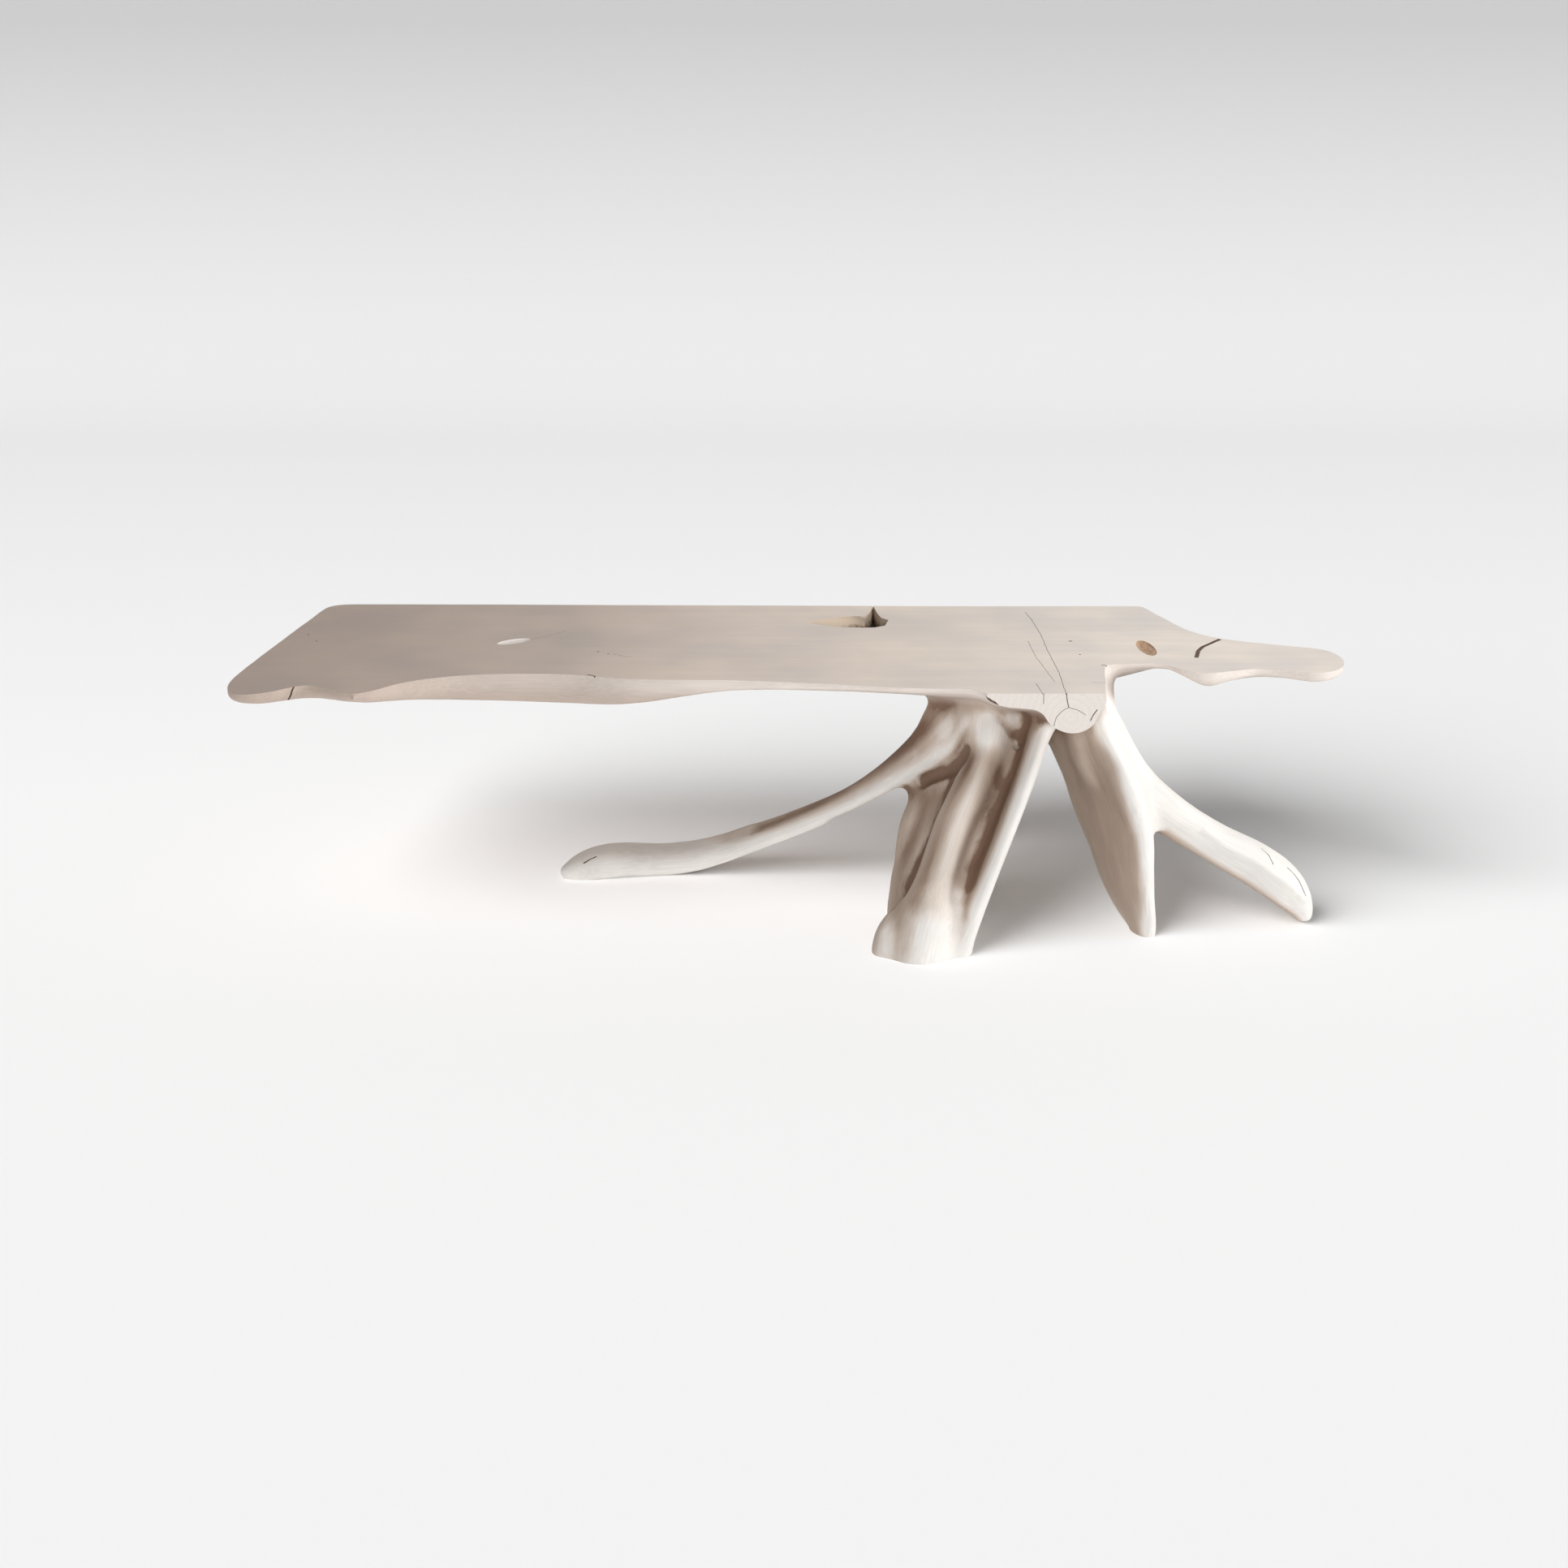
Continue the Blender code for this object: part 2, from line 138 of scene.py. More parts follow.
# Ripples along the fibres: how long, how wide, how deep in millimetres, and a seed.
RIPPLES = [
    (150 * MM, 46 * MM, 1.1, 3),
    (190 * MM, 14 * MM, 0.28, 5),
    (60 * MM, 6 * MM, 0.10, 7),
]

# Where the carver's gouge and the weather have shaped the wood: a line on it, how wide and how far
# it stands proud (or is sunk, if negative), both in millimetres, and how much painted shade lies
# along it (or painted light, if negative).
TOUCHES = {
    "arch_under_left_root": (
        [(0.226, -0.083, 0.228), (0.258, -0.116, 0.254), (0.278, -0.130, 0.273), (0.290, -0.145, 0.300)],
        18, -10, 1.5),
    "left_root_underside": (
        [(0.070, -0.012, 0.128), (0.114, -0.026, 0.152), (0.160, -0.045, 0.185), (0.190, -0.055, 0.205)],
        22, -6, 0.0),
    "left_root_lip": (
        [(0.114, -0.045, 0.178), (0.159, -0.060, 0.210), (0.197, -0.070, 0.240), (0.230, -0.084, 0.266),
         (0.262, -0.096, 0.292), (0.285, -0.106, 0.322), (0.300, -0.118, 0.345)],
        17, 4, -1.1),
    "hub_between_roots": (
        [(0.262, -0.082, 0.330), (0.285, -0.098, 0.348), (0.308, -0.125, 0.350), (0.322, -0.145, 0.335)],
        34, 3, -0.9),
    "left_root_bright_edge": (
        [(0.159, -0.063, 0.206), (0.114, -0.042, 0.174), (0.045, -0.020, 0.122), (-0.022, 0.002, 0.086),
         (-0.078, 0.014, 0.060), (-0.131, 0.024, 0.036)],
        19, 2, -1.0),
    "left_root_crest": (
        [(0.205, -0.075, 0.272), (0.159, -0.058, 0.233), (0.110, -0.034, 0.196),
         (0.042, -0.010, 0.150), (-0.022, 0.012, 0.112), (-0.070, 0.022, 0.088)],
        14, 1.5, 0.0),
    "left_root_upper_face": (
        [(0.245, -0.068, 0.352), (0.198, -0.053, 0.295), (0.157, -0.029, 0.252), (0.100, 0.000, 0.199),
         (0.042, 0.012, 0.160), (-0.022, 0.027, 0.126), (-0.066, 0.037, 0.100)],
        30, -4, 0.75),
    "front_furrow": (
        [(0.288, -0.150, 0.290), (0.269, -0.134, 0.253), (0.244, -0.172, 0.213), (0.220, -0.182, 0.139),
         (0.192, -0.198, 0.075), (0.172, -0.262, 0.050)],
        17, -6, 1.3),
    "flange_face": (
        [(0.238, -0.120, 0.220), (0.210, -0.128, 0.171), (0.189, -0.157, 0.106), (0.178, -0.195, 0.046)],
        34, 0.0, 0.2),
    "shin_right_flank": (
        [(0.345, -0.148, 0.330), (0.335, -0.182, 0.270), (0.318, -0.208, 0.215), (0.297, -0.240, 0.160),
         (0.284, -0.262, 0.115)],
        28, 0.0, 1.25),
    "front_fold": (
        [(0.352, -0.180, 0.245), (0.337, -0.197, 0.211), (0.322, -0.230, 0.164), (0.301, -0.245, 0.126)],
        18, 0.0, 1.0),
    "fold_top": (
        [(0.382, -0.121, 0.324), (0.374, -0.127, 0.307), (0.368, -0.145, 0.292), (0.352, -0.165, 0.262)],
        26, 0.0, 1.2),
    "corner_under_stub": (
        [(0.545, -0.105, 0.400), (0.542, -0.110, 0.357), (0.534, -0.155, 0.342)],
        34, 0.0, -1.2),
    "shin_front": (
        [(0.317, -0.180, 0.289), (0.306, -0.202, 0.255), (0.288, -0.228, 0.216), (0.256, -0.270, 0.150),
         (0.226, -0.314, 0.092)],
        40, 2, 1.5),
    "ridge_crest": (
        [(0.417, -0.165, 0.330), (0.385, -0.215, 0.270), (0.361, -0.252, 0.205), (0.333, -0.283, 0.142),
         (0.303, -0.308, 0.079)],
        20, 0.0, -1.6),
    "crown_valley": (
        [(0.312, -0.160, 0.405), (0.336, -0.146, 0.377), (0.359, -0.134, 0.348), (0.374, -0.126, 0.325)],
        14, -5, 0.6),
    "crown_shelf": (
        [(0.335, -0.190, 0.395), (0.370, -0.190, 0.385), (0.405, -0.190, 0.375), (0.425, -0.185, 0.350)],
        34, 0.0, 0.7),
    "right_toe_crease": (
        [(0.700, -0.188, 0.172), (0.735, -0.197, 0.147), (0.791, -0.204, 0.119), (0.848, -0.211, 0.078),
         (0.876, -0.206, 0.052)],
        10, 3.5, -0.3),
    "right_root_front": (
        [(0.638, -0.168, 0.215), (0.693, -0.186, 0.170), (0.735, -0.196, 0.140), (0.791, -0.205, 0.108),
         (0.848, -0.212, 0.070)],
        36, 0.0, -1.3),
    "left_toe": (
        [(-0.400, 0.020, 0.020), (-0.300, 0.030, 0.036), (-0.190, 0.032, 0.045)],
        60, 0.0, -1.6),
    "right_toe_top": (
        [(0.720, -0.165, 0.180), (0.780, -0.175, 0.148), (0.835, -0.180, 0.112), (0.868, -0.180, 0.080)],
        24, -2, 0.12),
}

# Cracks, in the order they open. Each starts from the top, from a root or from the upright face at
# one y, and has its line over that face, how wide and deep it is and how far it wanders, all three
# in millimetres, and a seed.
CRACKS = {
    "long_crack": (
        "top", [(0.433, 0.300), (0.440, 0.236), (0.445, 0.134), (0.445, 0.042), (0.447, -0.036),
                (0.449, -0.111), (0.447, -0.183), (0.446, -0.240)],
        1.0, 7, 4, 1.0),
    "middle_crack": (
        "top", [(0.417, 0.096), (0.420, -0.010), (0.429, -0.096), (0.435, -0.160)],
        0.8, 5, 4, 2.0),
    "short_crack": ("top", [(0.403, -0.168), (0.406, -0.216), (0.409, -0.240)], 0.9, 8, 4, 3.0),
    "corner_check": ("top", [(0.498, -0.162), (0.510, -0.165), (0.520, -0.163)], 1.2, 4, 4, 4.0),
    "edge_nick": ("top", [(-0.356, -0.117), (-0.348, -0.121), (-0.341, -0.128)], 3.4, 6, 4, 5.0),
    "dish_tail": (
        "top", [(-0.492, 0.098), (-0.462, 0.120), (-0.430, 0.150), (-0.420, 0.166)],
        1.0, 3, 4, 16.0),
    "corner_crevice": (
        "top", [(0.528, -0.058), (0.541, -0.064), (0.556, -0.060), (0.572, -0.064)],
        3.0, 12, 4, 17.0),
    "edge_scratch": ("top", [(-0.322, 0.012), (-0.300, -0.004), (-0.286, -0.006)], 1.2, 3, 4, 18.0),
    "long_crack_end": (
        STUB_FACE, [(0.446, 0.440), (0.448, 0.420), (0.4515, 0.406)], 1.8, 7, 4, 6.0),
    "left_arc": (
        STUB_FACE, [(0.4515, 0.406), (0.441, 0.400), (0.431, 0.388), (0.428, 0.374)],
        1.3, 3, 4, 7.0),
    "right_arc": (STUB_FACE, [(0.4515, 0.406), (0.466, 0.402), (0.480, 0.393)], 1.2, 3, 4, 8.0),
    "short_crack_end": (
        STUB_FACE, [(0.409, 0.440), (0.409, 0.424), (0.410, 0.412)], 1.3, 5, 4, 9.0),
    "edge_crumbs": (STUB_FACE, [(0.499, 0.402), (0.492, 0.392), (0.488, 0.383)], 2.2, 4, 4, 10.0),
    "left_end_split": (
        -0.190, [(-0.866, 0.384), (-0.856, 0.400), (-0.846, 0.416), (-0.838, 0.437)],
        2.6, 66, 4, 19.0),
    "crown_fissure": (
        -0.226, [(0.258, 0.437), (0.280, 0.434), (0.298, 0.429), (0.314, 0.422), (0.328, 0.413),
                 (0.338, 0.402)],
        7.0, 50, 6, 20.0),
    "toe_split_left": (
        "root", [(-0.405, 0.005), (-0.385, 0.012), (-0.362, 0.020)], 2.4, 7, 4, 11.0),
    "toe_split_fine": (
        "root", [(-0.385, -0.012), (-0.358, -0.010), (-0.330, -0.006)], 1.8, 5, 4, 12.0),
    "right_toe_split": (
        "root", [(0.845, -0.190), (0.862, -0.196), (0.878, -0.204)], 2.4, 7, 4, 13.0),
    "right_toe_check": (
        "root", [(0.800, -0.178), (0.812, -0.188), (0.818, -0.200)], 1.8, 5, 4, 14.0),
    "tongue_slot": (
        "top", [(0.700, -0.012), (0.712, 0.034), (0.724, 0.058), (0.740, 0.078), (0.764, 0.108)],
        8.0, 20, 2, 15.0),
}
CRACK_STEP = 5 * MM
CRACK_WAVES = 70.0  # waves of a crack's wandering to a metre
CRACK_MOUTH = 2 * MM  # how far a crack's wedge stands out of the wood it opens
TOE_CLEARANCE = 0.2  # a height above the roots' toes and under the top

# The rotted pocket's outline, from its crack towards the back edge round its deep crescent.
KNOT_POCKET = [
    (0.1485, 0.348), (0.1425, 0.304), (0.1290, 0.262), (0.1170, 0.226), (0.1200, 0.188), (0.1462, 0.190),
    (0.1650, 0.203), (0.1725, 0.242), (0.1600, 0.258), (0.1540, 0.290),
]
POCKET_DEPTH = 27 * MM

# Two corners of the box round the hollow knot's own walls and floor.
HOLLOW_BOX = (Vector((0.0, 0.165, TOP - 45 * MM)), Vector((0.185, 0.300, TOP - 0.2 * MM)))

# Round hollows in the top: middle, half-sizes and how far each is turned, in degrees.
TONGUE_SCAR = ((0.6222, 0.0500, TOP), (15 * MM, 50 * MM, 5 * MM), 4.0)
PALE_DISH = ((-0.5050, 0.0930, TOP + 1 * MM), (34 * MM, 15 * MM, 4 * MM), 32.0)

# Beetle holes in the top: where, and each one's radius.
BORER_HOLES = [
    (0.4934, 0.0954, 2.8 * MM), (0.4990, 0.0080, 1.8 * MM), (-0.8837, 0.1392, 2.0 * MM),
    (-0.8601, 0.0954, 1.8 * MM), (-0.3490, 0.0260, 2.0 * MM), (-0.3300, 0.0120, 1.6 * MM),
]

CAMERA_PLACE = (-0.0209, -3.6788, 1.48)
CAMERA_PITCH = 19.3  # degrees below level
LAMP_AIM = (0.4, 0.0, 0.25)  # the middle of the crown


# ---------------- small tools

def feed(tree, taker, inputs):
    """Sets each of a node's inputs to a value, or links it from a socket or a node's first one."""
    for key, value in inputs.items():
        if isinstance(value, bpy.types.Node):
            value = value.outputs[0]
        if isinstance(value, bpy.types.NodeSocket):
            tree.links.new(value, taker.inputs[key])
        else:
            taker.inputs[key].default_value = value


def node(tree, kind, inputs=None, **settings):
    """Adds one node with its settings, and feeds its inputs."""
    made = tree.nodes.new(kind)
    for name, value in settings.items():
        setattr(made, name, value)
    feed(tree, made, inputs or {})
    return made


def linear(hex_colour):
    """An sRGB hex colour as linear RGBA."""
    parts = [int(hex_colour[i:i + 2], 16) / 255 for i in (1, 3, 5)]
    return (*[p / 12.92 if p <= 0.04045 else ((p + 0.055) / 1.055) ** 2.4 for p in parts], 1.0)


def settled(obj):
    """The object's mesh with its modifiers applied, as a new mesh."""
    depsgraph = bpy.context.evaluated_depsgraph_get()
    return bpy.data.meshes.new_from_object(obj.evaluated_get(depsgraph), depsgraph=depsgraph)


def put(name, mesh):
    """A new object in the scene, with that mesh."""
    obj = bpy.data.objects.new(name, mesh)
    bpy.context.scene.collection.objects.link(obj)
    return obj


def discard(obj):
    """Removes an object and its mesh."""
    mesh = obj.data
    bpy.data.objects.remove(obj)
    bpy.data.meshes.remove(mesh)


def put_shape(name, bm):
    """A new object of the worked shape."""
    mesh = bpy.data.meshes.new(name)
    bm.to_mesh(mesh)
    bm.free()
    return put(name, mesh)


def read(items, what, each=1, kind=float):
    """One number, or one row of them, for each item."""
    out = np.empty(len(items) * each, dtype=kind)
    items.foreach_get(what, out)
    return out.reshape(-1, each) if each > 1 else out


def write(mesh, name, values, where="POINT"):
    """Adds an attribute that holds one number, or one vector, for each point or corner."""
    kind, field = ("FLOAT_VECTOR", "vector") if values.ndim > 1 else ("FLOAT", "value")
    layer = mesh.attributes.new(name, kind, where)
    layer.data.foreach_set(field, values.astype(np.float32).ravel())


def points_of(mesh):
    """Where each vertex is."""
    return read(mesh.vertices, "co", 3)


def set_points(mesh, points):
    """Moves each vertex."""
    mesh.vertices.foreach_set("co", np.ascontiguousarray(points, dtype=np.float32).ravel())
    mesh.update()


def normals_of(mesh):
    """Which way the skin faces at each vertex."""
    return read(mesh.vertex_normals, "vector", 3)


def smoothstep(low, high, x):
    """0 at low, 1 at high, and soft at both."""
    t = np.clip((x - low) / (high - low), 0.0, 1.0)
    return t * t * (3 - 2 * t)


def lattice(cell, seed):
    """One fixed random number from -1 to 1 for each whole-numbered cell."""
    a, b, c = (cell[..., k].astype(np.int64).astype(np.uint64) for k in range(3))
    h = a * np.uint64(0x9E3779B97F4A7C15) ^ b * np.uint64(0xC2B2AE3D27D4EB4F)
    h ^= c * np.uint64(0x165667B19E3779F9) ^ np.uint64(seed * 7919 + 17)
    h ^= h >> np.uint64(29)
    h *= np.uint64(0xBF58476D1CE4E5B9)
    h ^= h >> np.uint64(32)
    return (h & np.uint64(0xFFFFFF)).astype(float) / 0x7FFFFF - 1.0


def ripple(points, size, seed):
    """Smooth random ripples from about -1 to 1, as large as size along each axis."""
    p = points / np.asarray(size)
    base = np.floor(p)
    t = p - base
    t = t * t * t * (t * (t * 6 - 15) + 10)
    total = 0.0
    for corner in np.ndindex(2, 2, 2):
        weight = np.prod(np.where(np.array(corner), t, 1 - t), axis=1)
        total = total + weight * lattice(base + np.array(corner), seed)
    return total * 1.4


# ---------------- fibres

def walk(run):
    """A root's run as points, the way along at each, and two steady directions across it."""
    points = np.array(run)
    along = np.gradient(points, axis=0)
    along /= np.linalg.norm(along, axis=1, keepdims=True)
    side = np.cross(along[0], (0.0, 0.0, 1.0))
    if np.linalg.norm(side) < 0.1:
        side = np.array((1.0, 0.0, 0.0))
    sides = []
    for way in along:
        side = side - way * side.dot(way)
        side = side / np.linalg.norm(side)
        sides.append(side)
    sides = np.array(sides)
    return points, sides, np.cross(along, sides)


def fibre_place(points, run):
    """How far each point is from a root's middle line, and its (along, across, across) place."""
    line, side, other = walk(run)
    steps = np.linalg.norm(np.diff(line, axis=0), axis=1)
    start = np.concatenate([[0.0], np.cumsum(steps)])
    nearest = np.full(len(points), np.inf)
    place = np.zeros((len(points), 3))
    last = len(steps) - 1
    for i, step in enumerate(steps):
        way = (line[i + 1] - line[i]) / step
        gone = (points - line[i]) @ way
        held = np.clip(gone, -np.inf if i == 0 else 0.0, np.inf if i == last else step)
        off = points - line[i] - held[:, None] * way
        inside = np.clip(gone, 0.0, step)
        distance = np.linalg.norm(points - line[i] - inside[:, None] * way, axis=1)
        share = (inside / step)[:, None]
        u = (off * (side[i] * (1 - share) + side[i + 1] * share)).sum(axis=1)
        v = (off * (other[i] * (1 - share) + other[i + 1] * share)).sum(axis=1)
        closer = distance < nearest
        nearest = np.where(closer, distance, nearest)
        place[closer] = np.stack([start[i] + held, u, v], axis=1)[closer]
    return nearest, place


def fibres(points):
    """Distance to, and fibre place along, every root's run."""
    far, places = [], []
    for number, (name, run) in enumerate(ROOT_RUNS.items()):
        distance, place = fibre_place(points, run)
        if name == "top_plank":
            distance = np.abs(points[:, 2] - run[0][2]) - PLANK_HALF_THICKNESS + ROOT_HALF_THICKNESS
        far.append(distance)
        places.append(place + FIBRE_SHIFT * number)
    return np.array(far), np.array(places)


# ---------------- carving the blank

def run_on(bm, way, level):
    """Runs the flat faces at one level on past their place, so that a later cut leaves them crisp."""
    way = Vector(way)
    flat = [
        face for face in bm.faces
        if face.normal.dot(way) > 0.999 and abs(face.calc_center_median().dot(way) - level) < 1 * MM
    ]
    grown = bmesh.ops.extrude_face_region(bm, geom=flat)
    moved = [item for item in grown["geom"] if isinstance(item, bmesh.types.BMVert)]
    bmesh.ops.translate(bm, vec=way * FLAT_SPARE, verts=moved)
    left = [face for face in flat if face.is_valid]
    if left:
        bmesh.ops.delete(bm, geom=left, context="FACES_ONLY")


def near_line(points, line, radius):
    """1 on a line, falling softly to 0 at that radius from it."""
    nearest = np.full(len(points), np.inf)
    for start, end in zip(np.array(line[:-1]), np.array(line[1:])):
        run = end - start
        gone = np.clip((points - start) @ run / run.dot(run), 0.0, 1.0)[:, None]
        nearest = np.minimum(nearest, np.linalg.norm(points - start - gone * run, axis=1))
    return (1.0 - np.clip(nearest / radius, 0.0, 1.0) ** 2) ** 2


def blank():
    """The table's solid as one close, even skin, with its flats run on past where they are sawn."""
    bm = bmesh.new()
    bm.from_mesh(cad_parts["driftwood"].data)
    bmesh.ops.remove_doubles(bm, verts=bm.verts, dist=0.01 * MM)
    bm.normal_update()
    run_on(bm, (0, 0, 1), TOP)
    run_on(bm, (0, 0, -1), 0.0)
    run_on(bm, (0, -1, 0), -STUB_FACE)
    for start, end in zip(FOLD_SWELLING[:-1], FOLD_SWELLING[1:]):
        for share in np.linspace(0.0, 1.0, SWELLING_STEPS):
            middle = Vector(start[:3]).lerp(Vector(end[:3]), share)
            radius = start[3] + (end[3] - start[3]) * share
            placing = Matrix.Translation(middle)
            bmesh.ops.create_icosphere(bm, subdivisions=3, radius=radius, matrix=placing)
    obj = put_shape("blank", bm)
    remesh = obj.modifiers.new("skin", "REMESH")
    remesh.mode = "VOXEL"
    remesh.voxel_size = GRIT
    remesh.use_smooth_shade = True
    skin = settled(obj)
    discard(obj)
    return skin


def neighbours_of(mesh):
    """The two ends of each edge, and how many edges meet at each vertex."""
    ends = read(mesh.edges, "vertices", 2, np.int32)
    return ends, np.bincount(ends.ravel(), minlength=len(mesh.vertices)).astype(float)


def averaged(values, ends, count):
    """Each vertex's value averaged over its neighbours."""
    a, b = ends[:, 0], ends[:, 1]
    columns = []
    for column in values.T:
        columns.append(
            np.bincount(a, weights=column[b], minlength=len(values))
            + np.bincount(b, weights=column[a], minlength=len(values))
        )
    return np.stack(columns, axis=1) / count[:, None]


def eased(points, neighbours, passes, pull):
    """Draws each point towards the middle of its neighbours, pass after pass."""
    for _ in range(passes):
        points = points + pull * (averaged(points, *neighbours) - points)
    return points


def faired(points, neighbours, passes):
    """Smooths away facets without thinning the roots: each pass in is followed by one out."""
    for _ in range(passes):
        for pull in (0.55, -0.56):
            points = eased(points, neighbours, 1, pull)
    return points


def carve(skin):
    """Fairs the skin and works the soft furrows and ripples of washed root wood into it. Gives back
    every third point, and how far each of them lies in a furrow."""
    neighbours = neighbours_of(skin)
    points = eased(points_of(skin), neighbours, *FIRST_RUBS)
    points = faired(points, neighbours, FAIRING)
    worn = sum(near_line(points, line, radius) for line, radius in WORN)[:, None]
    passes, pull = WEARING
    points = eased(points, neighbours, passes, pull * worn)
    set_points(skin, points)
    outward = normals_of(skin)

    far, places = fibres(points)
    first, second = np.argsort(far, axis=0)[:2]
    rows = np.arange(len(points))
    share = smoothstep(-SEAM, SEAM, far[second, rows] - far[first, rows])
    depth = np.zeros(len(points))
    for which, weight in ((first, share), (second, 1 - share)):
        place = places[which, rows]
        depth += weight * sum(
            ripple(place, (long, wide, wide), seed) * deep * MM for long, wide, deep, seed in RIPPLES
        )
    starts, ends = (TOP - below for below in CALM_EDGE)
    depth *= 1.0 - CALM * smoothstep(starts, ends, points[:, 2])
    for line, width, relief, _ in TOUCHES.values():
        if relief:
            depth += relief * MM * near_line(points, line, width * MM)
    points = points + outward * depth[:, None]
    points = eased(points, neighbours, *LAST_RUBS)
    points[:, :2] = np.clip(points[:, :2], LOW.xy, HIGH.xy)
    set_points(skin, points)

    smooth = eased(points, neighbours, *LEVELLING)
    cavity = ((smooth - points) * outward).sum(axis=1)
    return points[::3], cavity[::3]


# ---------------- sawing and cracks

def block(name, low, high, finish):
    """A box-shaped saw cut, whose faces leave that finish on the wood."""
    bm = bmesh.new()
    bmesh.ops.create_cube(bm, size=1.0)
    size = Vector(high) - Vector(low)
    middle = (Vector(high) + Vector(low)) / 2
    placing = Matrix.Translation(middle) @ Matrix.Diagonal((*size, 1.0))
    bmesh.ops.transform(bm, matrix=placing, verts=bm.verts)
    return finished(put_shape(name, bm), finish)


def finished(tool, finish):
    """Gives every face of a cutting tool one of the table's finishes."""
    tool.data.materials.clear()
    for material in FINISHES.values():
        tool.data.materials.append(material)
    tool.data.polygons.foreach_set("material_index", [finish] * len(tool.data.polygons))
    return tool


def cut_away(piece, tools):
    """Takes each tool's shape out of the piece, and the tools with it."""
    for tool in tools:
        saw = piece.modifiers.new("cut", "BOOLEAN")
        saw.operation = "DIFFERENCE"
        saw.solver = "MANIFOLD"
        saw.object = tool
        swap_mesh(piece, settled(piece))
        discard(tool)


def swap_mesh(piece, mesh):
    """Gives a piece its new mesh in place of the old one and its modifiers."""
    piece.modifiers.clear()
    old, piece.data = piece.data, mesh
    bpy.data.meshes.remove(old)


def saw_flats(piece):
    """Saws the top, the soles and the end of the stub flat."""
    left, right = STUB_SIDES
    reach = SAW_REACH
    cut_away(piece, [
        block("top_saw", (-reach, -reach, TOP), (reach, reach, TOP + reach), SANDED),
        block("foot_saw", (-reach, -reach, -reach), (reach, reach, 0.0), WEATHERED),
        block("stub_saw", (left, STUB_FACE - 0.3, STUB_FOOT), (right, STUB_FACE, TOP + 0.1), END_GRAIN),
    ])


def thin(piece):
    """Fewer, larger faces where the wood is flat."""
    triangles = sum(len(p.vertices) - 2 for p in piece.data.polygons)
    fewer = piece.modifiers.new("fewer", "DECIMATE")
    fewer.ratio = min(1.0, MOST_TRIANGLES / triangles)
    swap_mesh(piece, settled(piece))


def crack_tree():
    """Geometry nodes that turn a drawn line into a wandering, tapering wedge."""
    tree = bpy.data.node_groups.new("drying_crack", "GeometryNodeTree")
    face = tree.interface
    face.new_socket("Geometry", in_out="INPUT", socket_type="NodeSocketGeometry")
    for name in ("Width", "Depth", "Wander", "Seed"):
        face.new_socket(name, in_out="INPUT", socket_type="NodeSocketFloat")
    face.new_socket("Material", in_out="INPUT", socket_type="NodeSocketMaterial")
    face.new_socket("Geometry", in_out="OUTPUT", socket_type="NodeSocketGeometry")
    drawn = node(tree, "NodeGroupInput").outputs

    line = node(tree, "GeometryNodeMeshToCurve", {"Mesh": drawn["Geometry"]})
    steps = node(
        tree, "GeometryNodeResampleCurve", {"Curve": line, "Length": CRACK_STEP}, mode="LENGTH"
    )
    where = node(tree, "GeometryNodeInputPosition")
    noise = node(
        tree, "ShaderNodeTexNoise",
        {"Vector": where, "W": drawn["Seed"], "Scale": CRACK_WAVES, "Detail": 3.0, "Roughness": 0.7},
        noise_dimensions="4D",
    ).outputs["Color"]
    centred = node(tree, "ShaderNodeVectorMath", {0: noise, 1: (0.5, 0.5, 0.5)}, operation="SUBTRACT")
    level = node(tree, "ShaderNodeVectorMath", {0: centred, 1: (1.0, 1.0, 0.0)}, operation="MULTIPLY")
    wander = node(tree, "ShaderNodeVectorMath", {0: level, "Scale": drawn["Wander"]}, operation="SCALE")
    moved = node(tree, "GeometryNodeSetPosition", {"Geometry": steps, "Offset": wander})
    upright = node(tree, "GeometryNodeSetCurveNormal", {"Curve": moved}, mode="Z_UP")

    # The wedge is full in the middle of its line and comes down to a seventh of its size at the ends.
    gone = node(tree, "GeometryNodeSplineParameter").outputs["Factor"]
    turn = node(tree, "ShaderNodeMath", {0: gone, 1: math.pi}, operation="MULTIPLY")
    arch = node(tree, "ShaderNodeMath", {0: turn}, operation="SINE")
    full = node(tree, "ShaderNodeMath", {0: arch, 1: 0.6}, operation="POWER")
    taper = node(tree, "ShaderNodeMath", {0: full, 1: 0.14}, operation="MAXIMUM")
    tapered = node(tree, "GeometryNodeSetCurveRadius", {"Curve": upright, "Radius": taper})

    corners = {}
    for number, across, down in ((1, -0.5, 0.0), (2, 0.5, 0.0), (3, 0.12, -1.0), (4, -0.12, -1.0)):
        x = node(tree, "ShaderNodeMath", {0: drawn["Width"], 1: across}, operation="MULTIPLY")
        depth = CRACK_MOUTH
        if down:
            depth = node(tree, "ShaderNodeMath", {0: drawn["Depth"], 1: down}, operation="MULTIPLY")
        corners[f"Point {number}"] = node(tree, "ShaderNodeCombineXYZ", {"X": x, "Y": depth})
    wedge = node(tree, "GeometryNodeCurvePrimitiveQuadrilateral", mode="POINTS")
    feed(tree, wedge, corners)
    swept = node(
        tree, "GeometryNodeCurveToMesh", {"Curve": tapered, "Profile Curve": wedge, "Fill Caps": True}
    )
    whole = node(tree, "GeometryNodeRealizeInstances", {"Geometry": swept})
    dark = node(tree, "GeometryNodeSetMaterial", {"Geometry": whole, "Material": drawn["Material"]})
    node(tree, "NodeGroupOutput", {"Geometry": dark})
    return tree


